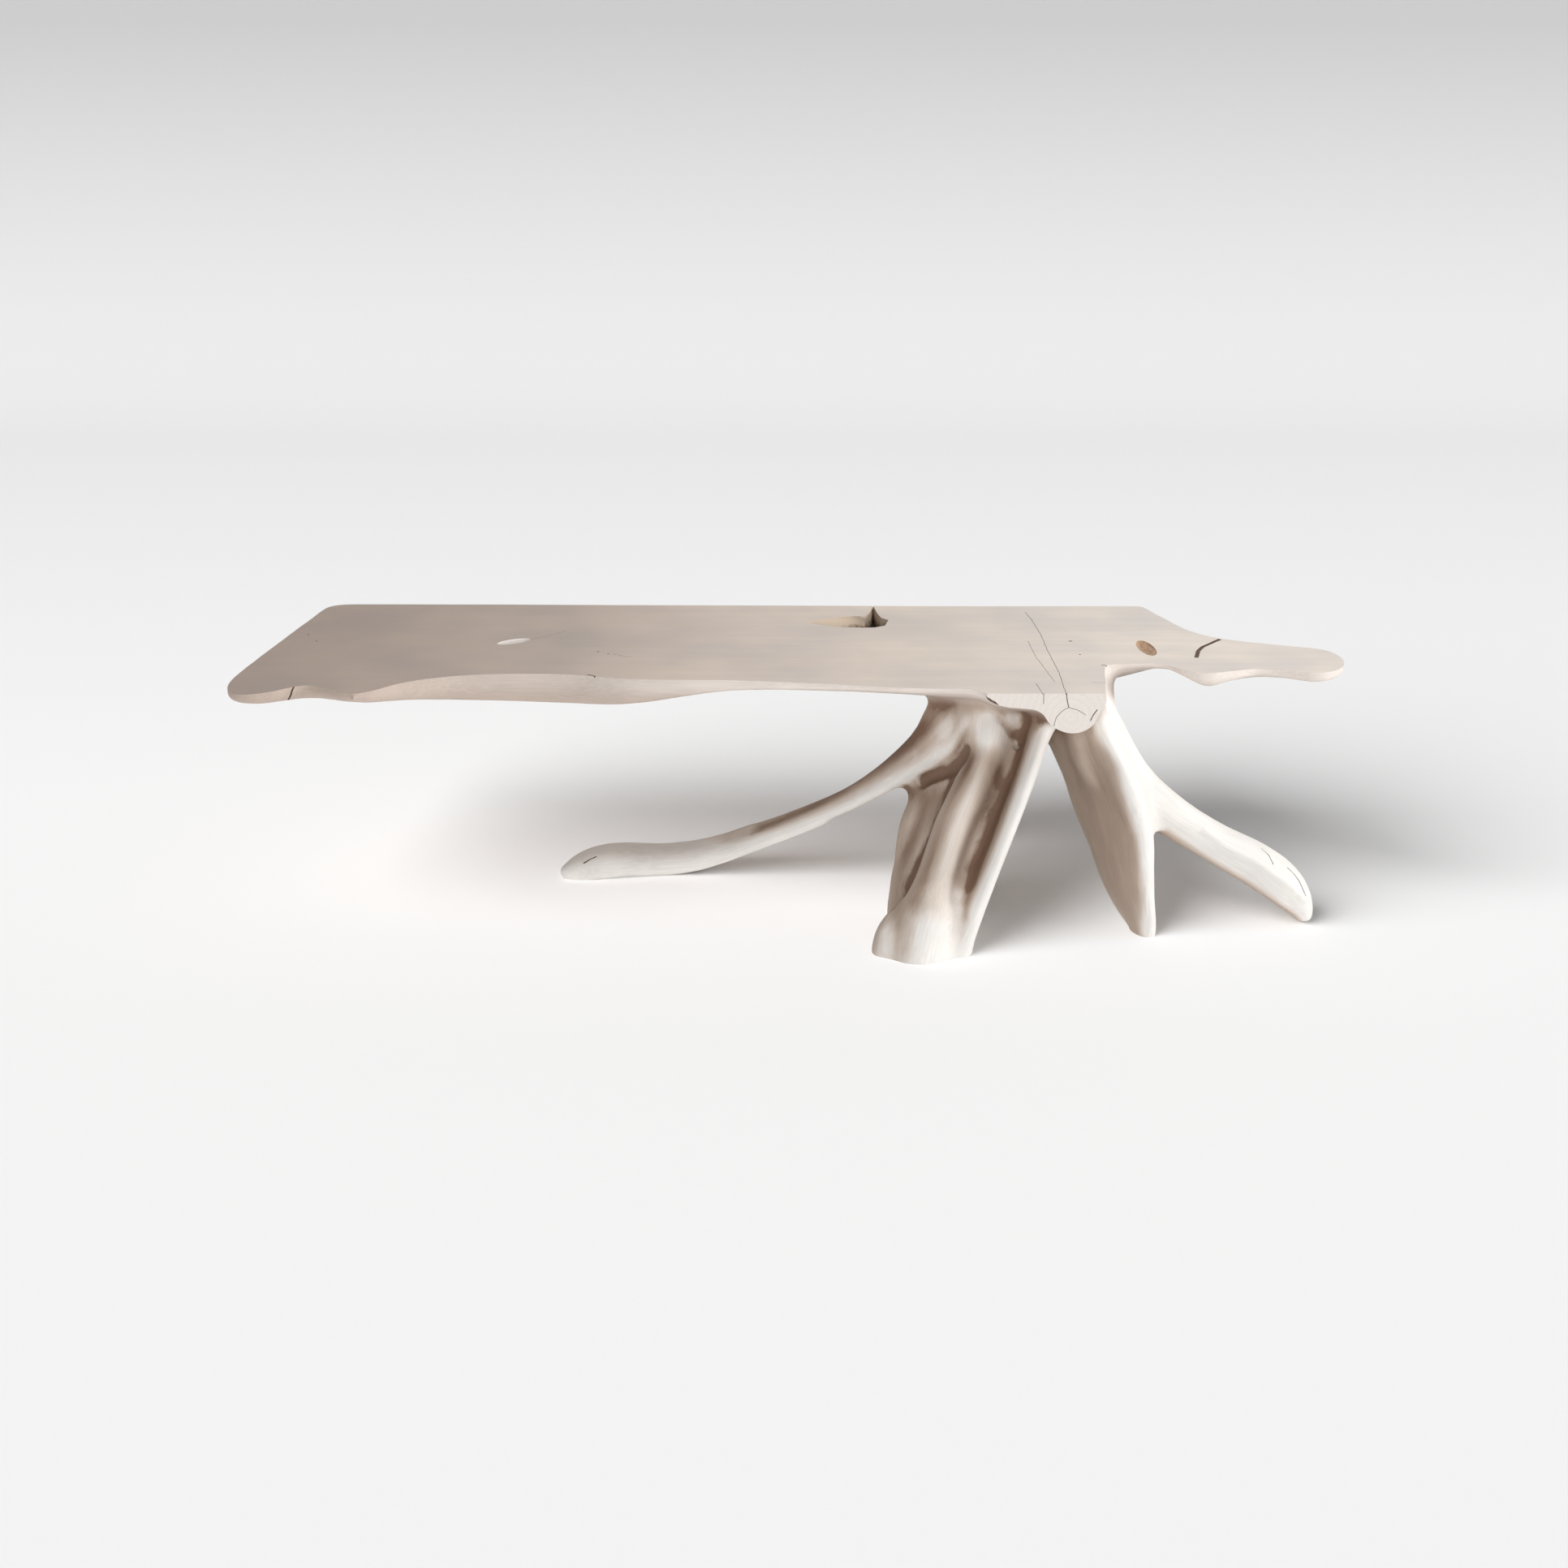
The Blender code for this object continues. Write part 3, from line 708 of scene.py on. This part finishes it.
def crack(tree, name, line, width, depth, wander, seed, placing):
    """A wedge-shaped cutting tool that follows a line, opening downwards by depth."""
    mesh = bpy.data.meshes.new(name)
    mesh.from_pydata([tuple(p) for p in line], [(i, i + 1) for i in range(len(line) - 1)], [])
    tool = put(name, mesh)
    modifier = tool.modifiers.new("crack", "NODES")
    modifier.node_group = tree
    values = {"Width": width, "Depth": depth, "Wander": wander, "Seed": seed}
    for socket in tree.interface.items_tree:
        if socket.in_out == "INPUT" and socket.name in values:
            modifier[socket.identifier] = float(values[socket.name])
        elif socket.in_out == "INPUT" and socket.name == "Material":
            modifier[socket.identifier] = FINISHES["crack_wood"]
    swap_mesh(tool, settled(tool))
    bm = bmesh.new()
    bm.from_mesh(tool.data)
    bmesh.ops.remove_doubles(bm, verts=bm.verts, dist=0.005 * MM)
    bmesh.ops.transform(bm, matrix=placing, verts=bm.verts)
    bmesh.ops.recalc_face_normals(bm, faces=bm.faces)
    bm.to_mesh(tool.data)
    bm.free()
    return finished(tool, CRACKED)


def draped(line, wood):
    """A line given from above, laid on the toes of the roots."""
    laid = []
    for x, y in line:
        above = Vector((x, y, TOE_CLEARANCE))
        hit = wood.ray_cast(above, Vector((0, 0, -1)))[0]
        laid.append(hit if hit is not None else above)
    return laid


def open_cracks(piece):
    """The drying cracks across the top and down the sawn stub, the splits in the plank's end and in
    the toes, and the slot left by a lost splinter in the tongue."""
    tree = crack_tree()
    wood = BVHTree.FromObject(piece, bpy.context.evaluated_depsgraph_get())
    tools = []
    for name, (start, line, width, depth, wander, seed) in CRACKS.items():
        placing = Matrix()
        if start == "top":
            line = [(x, y, TOP) for x, y in line]
        elif start == "root":
            line = draped(line, wood)
        else:
            # This one starts from an upright face, so it is drawn flat and then turned up.
            line = [(x, z, 0.0) for x, z in line]
            placing = Matrix.Translation((0, start, 0)) @ Matrix.Rotation(math.radians(90), 4, "X")
        tools.append(crack(tree, name, line, width * MM, depth * MM, wander * MM, seed, placing))
    cut_away(piece, tools)


def scoop(name, middle, radii, turn, finish, subdivisions=3):
    """A rounded cutting tool: an ellipsoid turned about the upright."""
    placing = Matrix.Translation(middle) @ Matrix.Rotation(math.radians(turn), 4, "Z")
    bm = bmesh.new()
    bmesh.ops.create_icosphere(bm, subdivisions=subdivisions, radius=1.0)
    bmesh.ops.transform(bm, matrix=placing @ Matrix.Diagonal((*radii, 1.0)), verts=bm.verts)
    return finished(put_shape(name, bm), finish)


def pocket(name, outline, depth, finish):
    """A straight-down cutting tool with that outline, a little narrower at its floor."""
    middle = np.mean(outline, axis=0)
    rings = []
    for height, share in ((4 * MM, 1.03), (-depth * 0.6, 0.96), (-depth, 0.72)):
        rings.append([(*(middle + (np.array(p) - middle) * share), TOP + height) for p in outline])
    bm = bmesh.new()
    rings = [[bm.verts.new(p) for p in ring] for ring in rings]
    for upper, lower in zip(rings[:-1], rings[1:]):
        for i in range(len(outline)):
            j = (i + 1) % len(outline)
            bm.faces.new((upper[i], upper[j], lower[j], lower[i]))
    bm.faces.new(rings[0])
    bm.faces.new(rings[-1])
    bmesh.ops.triangulate(bm, faces=bm.faces)
    bmesh.ops.recalc_face_normals(bm, faces=bm.faces)
    return finished(put_shape(name, bm), finish)


def knots_and_hollows(piece):
    """The rotted pocket at the end of the hollow knot, the brown scar on the tongue, the shallow
    pale dish near the left end, and round beetle holes a few millimetres across."""
    tools = [
        pocket("knot_pocket", KNOT_POCKET, POCKET_DEPTH, HOLLOW),
        scoop("tongue_scar", *TONGUE_SCAR, SCAR),
        scoop("pale_dish", *PALE_DISH, END_GRAIN),
    ]
    for number, (x, y, radius) in enumerate(BORER_HOLES):
        size = (radius * 1.3, radius, radius)
        tools.append(scoop(f"borer_{number}", (x, y, TOP), size, 0.0, CRACKED, subdivisions=2))
    cut_away(piece, tools)


def line_hollow(mesh):
    """The hollow knot's own walls and floor take the rotted wood's finish."""
    low, high = HOLLOW_BOX
    for face in mesh.polygons:
        middle = face.center
        inside = all(low[k] < middle[k] < high[k] for k in range(3))
        if inside and face.material_index == WEATHERED and face.normal.z > 0.05:
            face.material_index = HOLLOW


def mark_edges(mesh):
    """Crisp edges between finishes and where the wood turns sharply, soft ones elsewhere."""
    mesh.set_sharp_from_angle(angle=SHARP_TURN)
    mesh.polygons.foreach_set("use_smooth", [True] * len(mesh.polygons))
    finish = read(mesh.polygons, "material_index", kind=np.int32)
    edges = read(mesh.loops, "edge_index", kind=np.int32)
    of_edge = np.repeat(finish, read(mesh.polygons, "loop_total", kind=np.int32))
    low = np.full(len(mesh.edges), len(FINISHES))
    high = np.full(len(mesh.edges), -1)
    np.minimum.at(low, edges, of_edge)
    np.maximum.at(high, edges, of_edge)
    sharp = read(mesh.edges, "use_edge_sharp", kind=bool)
    mesh.edges.foreach_set("use_edge_sharp", sharp | (low != high))


def lay_fibres(mesh):
    """Writes where each face's fibres run, for the wood's own patterns to follow."""
    far, places = fibres(points_of(mesh))
    corner = read(mesh.loops, "vertex_index", kind=np.int32)
    sizes = read(mesh.polygons, "loop_total", kind=np.int32)
    face_of = np.repeat(np.arange(len(sizes)), sizes)
    summed = np.stack([np.bincount(face_of, weights=row[corner], minlength=len(sizes)) for row in far])
    first, second = np.argsort(summed / sizes, axis=0)[:2]
    first, second = first[face_of], second[face_of]
    share = smoothstep(-SEAM, SEAM, far[second, corner] - far[first, corner])
    write(mesh, "fibre_a", places[first, corner], "CORNER")
    write(mesh, "fibre_b", places[second, corner], "CORNER")
    write(mesh, "fibre_share", 1 - share, "CORNER")
    plank = list(ROOT_RUNS).index("top_plank")
    others = np.delete(far, plank, axis=0).min(axis=0)
    write(mesh, "plank", smoothstep(-SEAM, SEAM, others - far[plank]))


def paint_light_and_shade(mesh, skin_points, cavity):
    """Writes each point's painted light and shade: painted shade in furrows, away from the key lamp and
    along dark touches, painted light on ridges, on the lamp's side and along pale touches.
    """
    tree = KDTree(len(skin_points))
    for index, point in enumerate(skin_points):
        tree.insert(point, index)
    tree.balance()
    near = [tree.find(v.co)[1] for v in mesh.vertices]
    points = points_of(mesh)
    drift = ripple(points, (PATCH, PATCH, PATCH), 21)
    painted_touch_shade = np.zeros(len(points))
    # Each touch lays painted shade along its line, or painted light where its number is negative.
    for line, width, _, brown in TOUCHES.values():
        painted_touch_shade += brown * near_line(points, line, width * MM * TOUCH_SHADE_SPREAD)
    # Painted shade in the furrows and painted light on the ridges.
    write(mesh, "cavity", cavity[near] / CAVITY_DEPTH)
    # Painted light on the key lamp's side and painted shade on the far side, with random patches of
    # tone.
    write(mesh, "lamp_side_light", normals_of(mesh) @ np.array(SUN) + STRAYING * drift)
    write(mesh, "painted_touch_shade", painted_touch_shade)


# ---------------- finishes

def new_material(name):
    """A fresh material, its node tree, its shader, and the place on the piece for patterns to use."""
    material = bpy.data.materials.new(name)
    material.use_nodes = True
    tree = material.node_tree
    tree.nodes.clear()
    shader = node(tree, "ShaderNodeBsdfPrincipled", {"IOR": 1.5})
    node(tree, "ShaderNodeOutputMaterial", {"Surface": shader.outputs[0]})
    return material, tree, shader, node(tree, "ShaderNodeTexCoord").outputs["Object"]


def set_stops(ramp, lowest, highest, *between):
    """Gives a ramp its colours: each stop is a place and the colour there."""
    made = ramp.color_ramp.elements
    for stop, (place, colour) in zip(made, (lowest, highest)):
        stop.position = place
        stop.color = linear(colour)
    for place, colour in between:
        made.new(place).color = linear(colour)


def toned(tree, colour, *tones):
    """A colour made darker and lighter by noises: each with its own low and high, and with the
    shares of the colour that those two leave."""
    tone = None
    for noise, low, high, dark, light in tones:
        part = node(
            tree, "ShaderNodeMapRange",
            {"Value": noise, "From Min": low, "From Max": high, "To Min": dark, "To Max": light},
        )
        if tone:
            part = node(tree, "ShaderNodeMath", {0: tone, 1: part}, operation="MULTIPLY")
        tone = part
    return node(
        tree, "ShaderNodeMix", {0: 1.0, 6: colour, 7: tone}, data_type="RGBA", blend_type="MULTIPLY"
    ).outputs[2]


def fibre_noise(tree, along, across, detail=2.0, distortion=0.0):
    """Noise drawn out along the fibres, blended where one root runs into another."""
    share = node(tree, "ShaderNodeAttribute", attribute_name="fibre_share").outputs["Fac"]
    pair = []
    for name in ("fibre_a", "fibre_b"):
        place = node(tree, "ShaderNodeAttribute", attribute_name=name).outputs["Vector"]
        drawn = node(
            tree, "ShaderNodeMapping",
            {"Vector": place, "Scale": (1 / along, 1 / across, 1 / across)},
        )
        pair.append(node(
            tree, "ShaderNodeTexNoise",
            {"Vector": drawn, "Scale": 1.0, "Detail": detail, "Distortion": distortion},
        ))
    return node(tree, "ShaderNodeMix", {0: share, 2: pair[0], 3: pair[1]})


def root_wood():
    """Bleached root wood: hardwood washed and sun-silvered, then lightly sanded, a soft near-white with
    brown fibres. Painted light pales its ridges and the side the key lamp lights; painted shade browns
    its furrows and the far side."""
    material, tree, shader, here = new_material("bleached_root_wood")
    broad = fibre_noise(tree, 260 * MM, 17 * MM, 2.0, 0.3)
    fine = fibre_noise(tree, 70 * MM, 2.6 * MM, 3.0)  # real fibres are finer; these are as fine as show
    place = node(tree, "ShaderNodeSeparateXYZ", {0: here})
    patch = node(tree, "ShaderNodeTexNoise", {"Vector": here, "Scale": 1 / (90 * MM), "Detail": 2.0})

    lamp_side_light, cavity, painted_touch_shade, plank = (
        node(tree, "ShaderNodeAttribute", attribute_name=name).outputs["Fac"]
        for name in ("lamp_side_light", "cavity", "painted_touch_shade", "plank")
    )
    # Painted light on the key lamp's side and painted shade away from it, swayed by the broad fibres.
    tilt = node(tree, "ShaderNodeMath", {0: broad, 1: 0.5}, operation="SUBTRACT")
    swayed = node(tree, "ShaderNodeMath", {0: tilt, 1: 0.35, 2: lamp_side_light}, operation="MULTIPLY_ADD")
    lamp_side_light_and_tone = node(
        tree, "ShaderNodeMapRange",
        {"Value": swayed, "From Min": -0.45, "From Max": 0.55, "To Min": 0.2},
        interpolation_type="SMOOTHSTEP",
    )
    # Painted shade in the furrows and painted light on the ridges.
    ridge = node(tree, "ShaderNodeMath", {0: cavity, 1: -0.35, 2: lamp_side_light_and_tone}, operation="MULTIPLY_ADD")
    # The touches' painted shade, or painted light where negative.
    tone_and_painted_shade = node(tree, "ShaderNodeMath", {0: painted_touch_shade, 1: -0.42, 2: ridge}, operation="MULTIPLY_ADD")
    tone_and_shade_colours = node(tree, "ShaderNodeValToRGB", {0: tone_and_painted_shade})
    set_stops(
        tone_and_shade_colours, (0.0, "#816654"), (1.0, "#EFEBE6"),
        (0.2, "#AF9B8B"), (0.42, "#C9B9AB"), (0.7, "#E3D9D0"),
    )

    # The plank's live edge was planed with its top, and keeps the top's pinkish beige, with painted
    # shade that darkens it towards the left end and on its lower part.
    under_edge_shade = node(
        tree, "ShaderNodeMapRange",
        {"Value": place.outputs["Z"], "From Min": TOP - 42 * MM, "From Max": TOP - 8 * MM},
        interpolation_type="SMOOTHSTEP",
    )
    leftward = node(
        tree, "ShaderNodeMapRange",
        {"Value": place.outputs["X"], "From Min": -0.75, "From Max": -0.10},
    )
    planed = node(
        tree, "ShaderNodeMix", {0: leftward, 6: linear("#C3B1A4"), 7: linear("#ECE1D8")},
        data_type="RGBA",
    ).outputs[2]
    edge = node(
        tree, "ShaderNodeMix", {0: under_edge_shade, 6: linear("#C4B3A7"), 7: planed}, data_type="RGBA"
    ).outputs[2]
    # Where a touch lays painted light, the pale ramp colour wins over the planed edge's colour.
    unlit_edge_share = node(tree, "ShaderNodeMath", {0: painted_touch_shade, 1: 1.0}, operation="ADD", use_clamp=True)
    planed_here = node(tree, "ShaderNodeMath", {0: plank, 1: unlit_edge_share}, operation="MULTIPLY")
    wood = node(tree, "ShaderNodeMix", {0: planed_here, 6: tone_and_shade_colours, 7: edge}, data_type="RGBA")

    colour = toned(
        tree, wood.outputs[2], (fine, 0.25, 0.75, 0.91, 1.05), (patch, 0.3, 0.7, 0.94, 1.04)
    )
    rough = node(
        tree, "ShaderNodeMapRange",
        {"Value": broad, "From Min": 0.3, "From Max": 0.7, "To Min": 0.62, "To Max": 0.78},
    )
    bump = node(tree, "ShaderNodeBump", {"Height": fine, "Distance": 0.5 * MM, "Strength": 0.5})
    feed(tree, shader, {"Base Color": colour, "Roughness": rough, "Normal": bump})
    return material


def sanded_top():
    """The plank's sawn and sanded face: matt, grey-brown heartwood with long quiet streaks along the
    plank. It pales towards the crown, partly as heartwood tone and partly as painted light."""
    material, tree, shader, here = new_material("sanded_top")
    along = node(tree, "ShaderNodeSeparateXYZ", {0: here}).outputs["X"]
    # Paler towards the crown: partly heartwood tone, partly painted light.
    pale = node(tree, "ShaderNodeMapRange", {"Value": along, "From Min": LOW.x, "From Max": 0.55})
    ramp = node(tree, "ShaderNodeValToRGB", {0: pale})
    set_stops(ramp, (0.0, "#C4B3A8"), (1.0, "#E8E1DA"), (0.36, "#CCBEB4"), (0.54, "#E2D5CB"))

    def streaks(length, width, shift):
        """Noise drawn out along the plank, from its own place in the pattern."""
        drawn = node(
            tree, "ShaderNodeMapping",
            {"Vector": here, "Location": (shift, shift * 0.7, 0.0),
             "Scale": (1 / length, 1 / width, 1 / width)},
        )
        return node(
            tree, "ShaderNodeTexNoise",
            {"Vector": drawn, "Scale": 1.0, "Detail": 3.0, "Distortion": 0.4},
        )

    long_streaks = streaks(420 * MM, 26 * MM, 3.1)
    short_streaks = streaks(110 * MM, 4 * MM, 9.4)
    clouds = node(tree, "ShaderNodeTexNoise", {"Vector": here, "Scale": 1 / (160 * MM), "Detail": 2.0})
    hue = node(tree, "ShaderNodeMapRange", {"Value": clouds, "From Min": 0.35, "From Max": 0.65})
    warm = node(
        tree, "ShaderNodeMix", {0: hue, 6: linear("#F1EFEE"), 7: linear("#FFFAF4")}, data_type="RGBA"
    ).outputs[2]
    clouded = node(
        tree, "ShaderNodeMix", {0: 1.0, 6: ramp, 7: warm}, data_type="RGBA", blend_type="MULTIPLY"
    ).outputs[2]
    colour = toned(
        tree, clouded, (long_streaks, 0.3, 0.7, 0.96, 1.03), (short_streaks, 0.3, 0.7, 0.985, 1.01)
    )
    rough = node(
        tree, "ShaderNodeMapRange",
        {"Value": long_streaks, "From Min": 0.3, "From Max": 0.7, "To Min": 0.52, "To Max": 0.66},
    )
    bump = node(
        tree, "ShaderNodeBump", {"Height": short_streaks, "Distance": 0.25 * MM, "Strength": 0.4}
    )
    feed(tree, shader, {"Base Color": colour, "Roughness": rough, "Normal": bump})
    return material


def end_grain():
    """The stub's sawn end: pale end grain with faint growth rings round its pith."""
    material, tree, shader, here = new_material("sawn_end_grain")
    centred = node(tree, "ShaderNodeMapping", {"Vector": here, "Location": tuple(-STUB_HEART)})
    rings = node(
        tree, "ShaderNodeTexWave",
        {"Vector": centred, "Scale": 1 / (RING_SPACING * 20 / math.tau * 2), "Distortion": 3.0,
         "Detail": 2.0, "Detail Scale": 1.4},
        wave_type="RINGS", rings_direction="Y",
    ).outputs["Fac"]
    speck = node(tree, "ShaderNodeTexNoise", {"Vector": here, "Scale": 1 / (3 * MM), "Detail": 3.0})
    base = node(tree, "ShaderNodeValToRGB", {0: rings})
    set_stops(base, (0.0, "#E8E0D8"), (0.6, "#EBE3DC"))
    colour = toned(tree, base, (speck, 0.3, 0.7, 0.95, 1.03))
    bump = node(tree, "ShaderNodeBump", {"Height": speck, "Distance": 0.3 * MM, "Strength": 0.4})
    feed(tree, shader, {"Base Color": colour, "Roughness": 0.7, "Normal": bump})
    return material


def crack_wood():
    """The inside of a crack: dull, broken wood, painted dark as the shade deep in the crack."""
    material, tree, shader, here = new_material("crack_wood")
    speck = node(tree, "ShaderNodeTexNoise", {"Vector": here, "Scale": 1 / (4 * MM), "Detail": 2.0})
    # Painted shade: the dark colours stand for the shadow inside cracks and holes.
    base = node(tree, "ShaderNodeValToRGB", {0: speck})
    set_stops(base, (0.3, "#4C3E34"), (0.7, "#86715F"))
    feed(tree, shader, {"Base Color": base, "Roughness": 0.85})
    return material


def scar_wood():
    """The scar of a lost branch: smooth, dense, honey-brown wood."""
    material, tree, shader, here = new_material("branch_scar")
    drawn = node(
        tree, "ShaderNodeMapping",
        {"Vector": here, "Scale": (1 / (7 * MM), 1 / (26 * MM), 1 / (7 * MM))},
    )
    swirl = node(tree, "ShaderNodeTexNoise", {"Vector": drawn, "Scale": 1.0, "Detail": 2.0})
    base = node(tree, "ShaderNodeValToRGB", {0: swirl})
    set_stops(base, (0.35, "#A07C5C"), (0.7, "#C9A787"))
    feed(tree, shader, {"Base Color": base, "Roughness": 0.5})
    return material


def hollow_wood():
    """Punky wood in the hollow knot: tan and rough near the top, and painted dark in its depth as
    painted shade.
    """
    material, tree, shader, here = new_material("rotted_hollow")
    speck = node(tree, "ShaderNodeTexNoise", {"Vector": here, "Scale": 1 / (7 * MM), "Detail": 3.0})
    height = node(tree, "ShaderNodeSeparateXYZ", {0: here}).outputs["Z"]
    # Painted shade: darker the deeper in the pocket.
    depth = node(
        tree, "ShaderNodeMapRange", {"Value": height, "From Min": TOP - POCKET_DEPTH, "From Max": TOP}
    )
    speck_and_depth_shade = node(tree, "ShaderNodeMath", {0: speck, 1: 0.5, 2: depth}, operation="MULTIPLY_ADD")
    base = node(tree, "ShaderNodeValToRGB", {0: speck_and_depth_shade})
    set_stops(base, (0.25, "#2B211A"), (0.8, "#C9B7A3"), (0.55, "#8B7660"))
    bump = node(tree, "ShaderNodeBump", {"Height": speck, "Distance": 1.0 * MM, "Strength": 0.6})
    feed(tree, shader, {"Base Color": base, "Roughness": 0.85, "Normal": bump})
    return material


# ---------------- studio

def floor_and_backdrop():
    """A plain pale floor that curves up, far behind, into a backdrop, with painted shade that greys the
    paper further back and higher up.
    """
    near, far, height, bend, half = -12.0, 7.5, 7.0, 3.0, 16.0
    profile = [(near, 0.0), (far - bend, 0.0)]
    profile += [
        (far - bend + bend * math.sin(math.radians(a)), bend - bend * math.cos(math.radians(a)))
        for a in range(6, 91, 6)
    ]
    profile.append((far, height))
    vertices = [(x, y, z) for y, z in profile for x in (-half, half)]
    faces = [(2 * i, 2 * i + 1, 2 * i + 3, 2 * i + 2) for i in range(len(profile) - 1)]
    mesh = bpy.data.meshes.new("floor")
    mesh.from_pydata(vertices, [], faces)
    mesh.polygons.foreach_set("use_smooth", [True] * len(faces))
    mesh.update()
    floor = put("floor", mesh)
    material, tree, shader, here = new_material("studio_paper")
    place = node(tree, "ShaderNodeSeparateXYZ", {0: here})
    away = node(
        tree, "ShaderNodeMath", {0: place.outputs["Z"], 1: 3.0, 2: place.outputs["Y"]},
        operation="MULTIPLY_ADD",
    )
    # Painted shade: greyer further back and higher up.
    painted_falloff = node(tree, "ShaderNodeMapRange", {"Value": away, "From Min": 0.5, "From Max": 11.5})
    shade = node(
        tree, "ShaderNodeMix", {0: painted_falloff, 6: linear("#F4F4F4"), 7: linear("#B6B6B6")},
        data_type="RGBA",
    ).outputs[2]
    feed(tree, shader, {"Base Color": shade, "Roughness": 0.9, "Specular IOR Level": 0.1})
    mesh.materials.append(material)
    return floor


def lamp(name, kind, place, aim, watts, lit, size):
    """A studio lamp that lights only what it is aimed at, as flags and barn doors would have it."""
    light = bpy.data.lights.new(name, kind)
    light.energy = watts
    if kind == "AREA":
        light.shape = "RECTANGLE"
        light.size, light.size_y = size
    else:
        light.angle = size
    holder = bpy.data.objects.new(name, light)
    holder.location = place
    holder.rotation_euler = (Vector(aim) - Vector(place)).to_track_quat("-Z", "Y").to_euler()
    bpy.context.scene.collection.objects.link(holder)
    flagged = bpy.data.collections.new(name)
    flagged.objects.link(lit)
    holder.light_linking.receiver_collection = flagged


def studio(piece):
    """The floor, the lamps, the air and the camera."""
    floor = floor_and_backdrop()
    world = bpy.data.worlds.new("studio_air")
    world.use_nodes = True
    sky = world.node_tree.nodes["Background"]
    sky.inputs["Color"].default_value = linear("#FFFFFF")
    sky.inputs["Strength"].default_value = 0.22
    bpy.context.scene.world = world
    bpy.context.scene.view_settings.view_transform = "Standard"
    lamp("key_light", "AREA", (4.7, -0.9, 1.3), LAMP_AIM, 88, piece, (1.5, 1.3))
    lamp("front_light", "AREA", (0.3, -5.0, 1.6), LAMP_AIM, 90, piece, (2.6, 1.6))
    lamp("top_light", "AREA", (1.2, 0.0, 3.2), (0.4, 0.0, 0.4), 49, piece, (1.8, 1.6))
    lamp("floor_light", "SUN", (-1.35, -0.9, 1.0), (0.0, 0.0, 0.0), 4.42, floor, math.radians(55))

    camera = bpy.data.cameras.new("camera")
    camera.lens = 50.0
    camera.sensor_width = 36.0
    holder = bpy.data.objects.new("camera", camera)
    holder.location = CAMERA_PLACE
    holder.rotation_euler = (math.radians(90 - CAMERA_PITCH), 0.0, 0.0)
    bpy.context.scene.collection.objects.link(holder)
    bpy.context.scene.camera = holder


# ---------------- making the table

WEATHERED, SANDED, END_GRAIN, CRACKED, SCAR, HOLLOW = range(6)
FINISHES = {
    "bleached_root_wood": root_wood(),
    "sanded_top": sanded_top(),
    "sawn_end_grain": end_grain(),
    "crack_wood": crack_wood(),
    "branch_scar": scar_wood(),
    "rotted_hollow": hollow_wood(),
}
skin = blank()
skin.materials.clear()
for finish in FINISHES.values():
    skin.materials.append(finish)
skin.polygons.foreach_set("material_index", [WEATHERED] * len(skin.polygons))
skin_points, cavity = carve(skin)
table = put("driftwood_table", skin)
thin(table)
saw_flats(table)
open_cracks(table)
knots_and_hollows(table)
line_hollow(table.data)
mark_edges(table.data)
lay_fibres(table.data)
paint_light_and_shade(table.data, skin_points, cavity)
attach(table, "root")
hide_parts("driftwood")
studio(table)
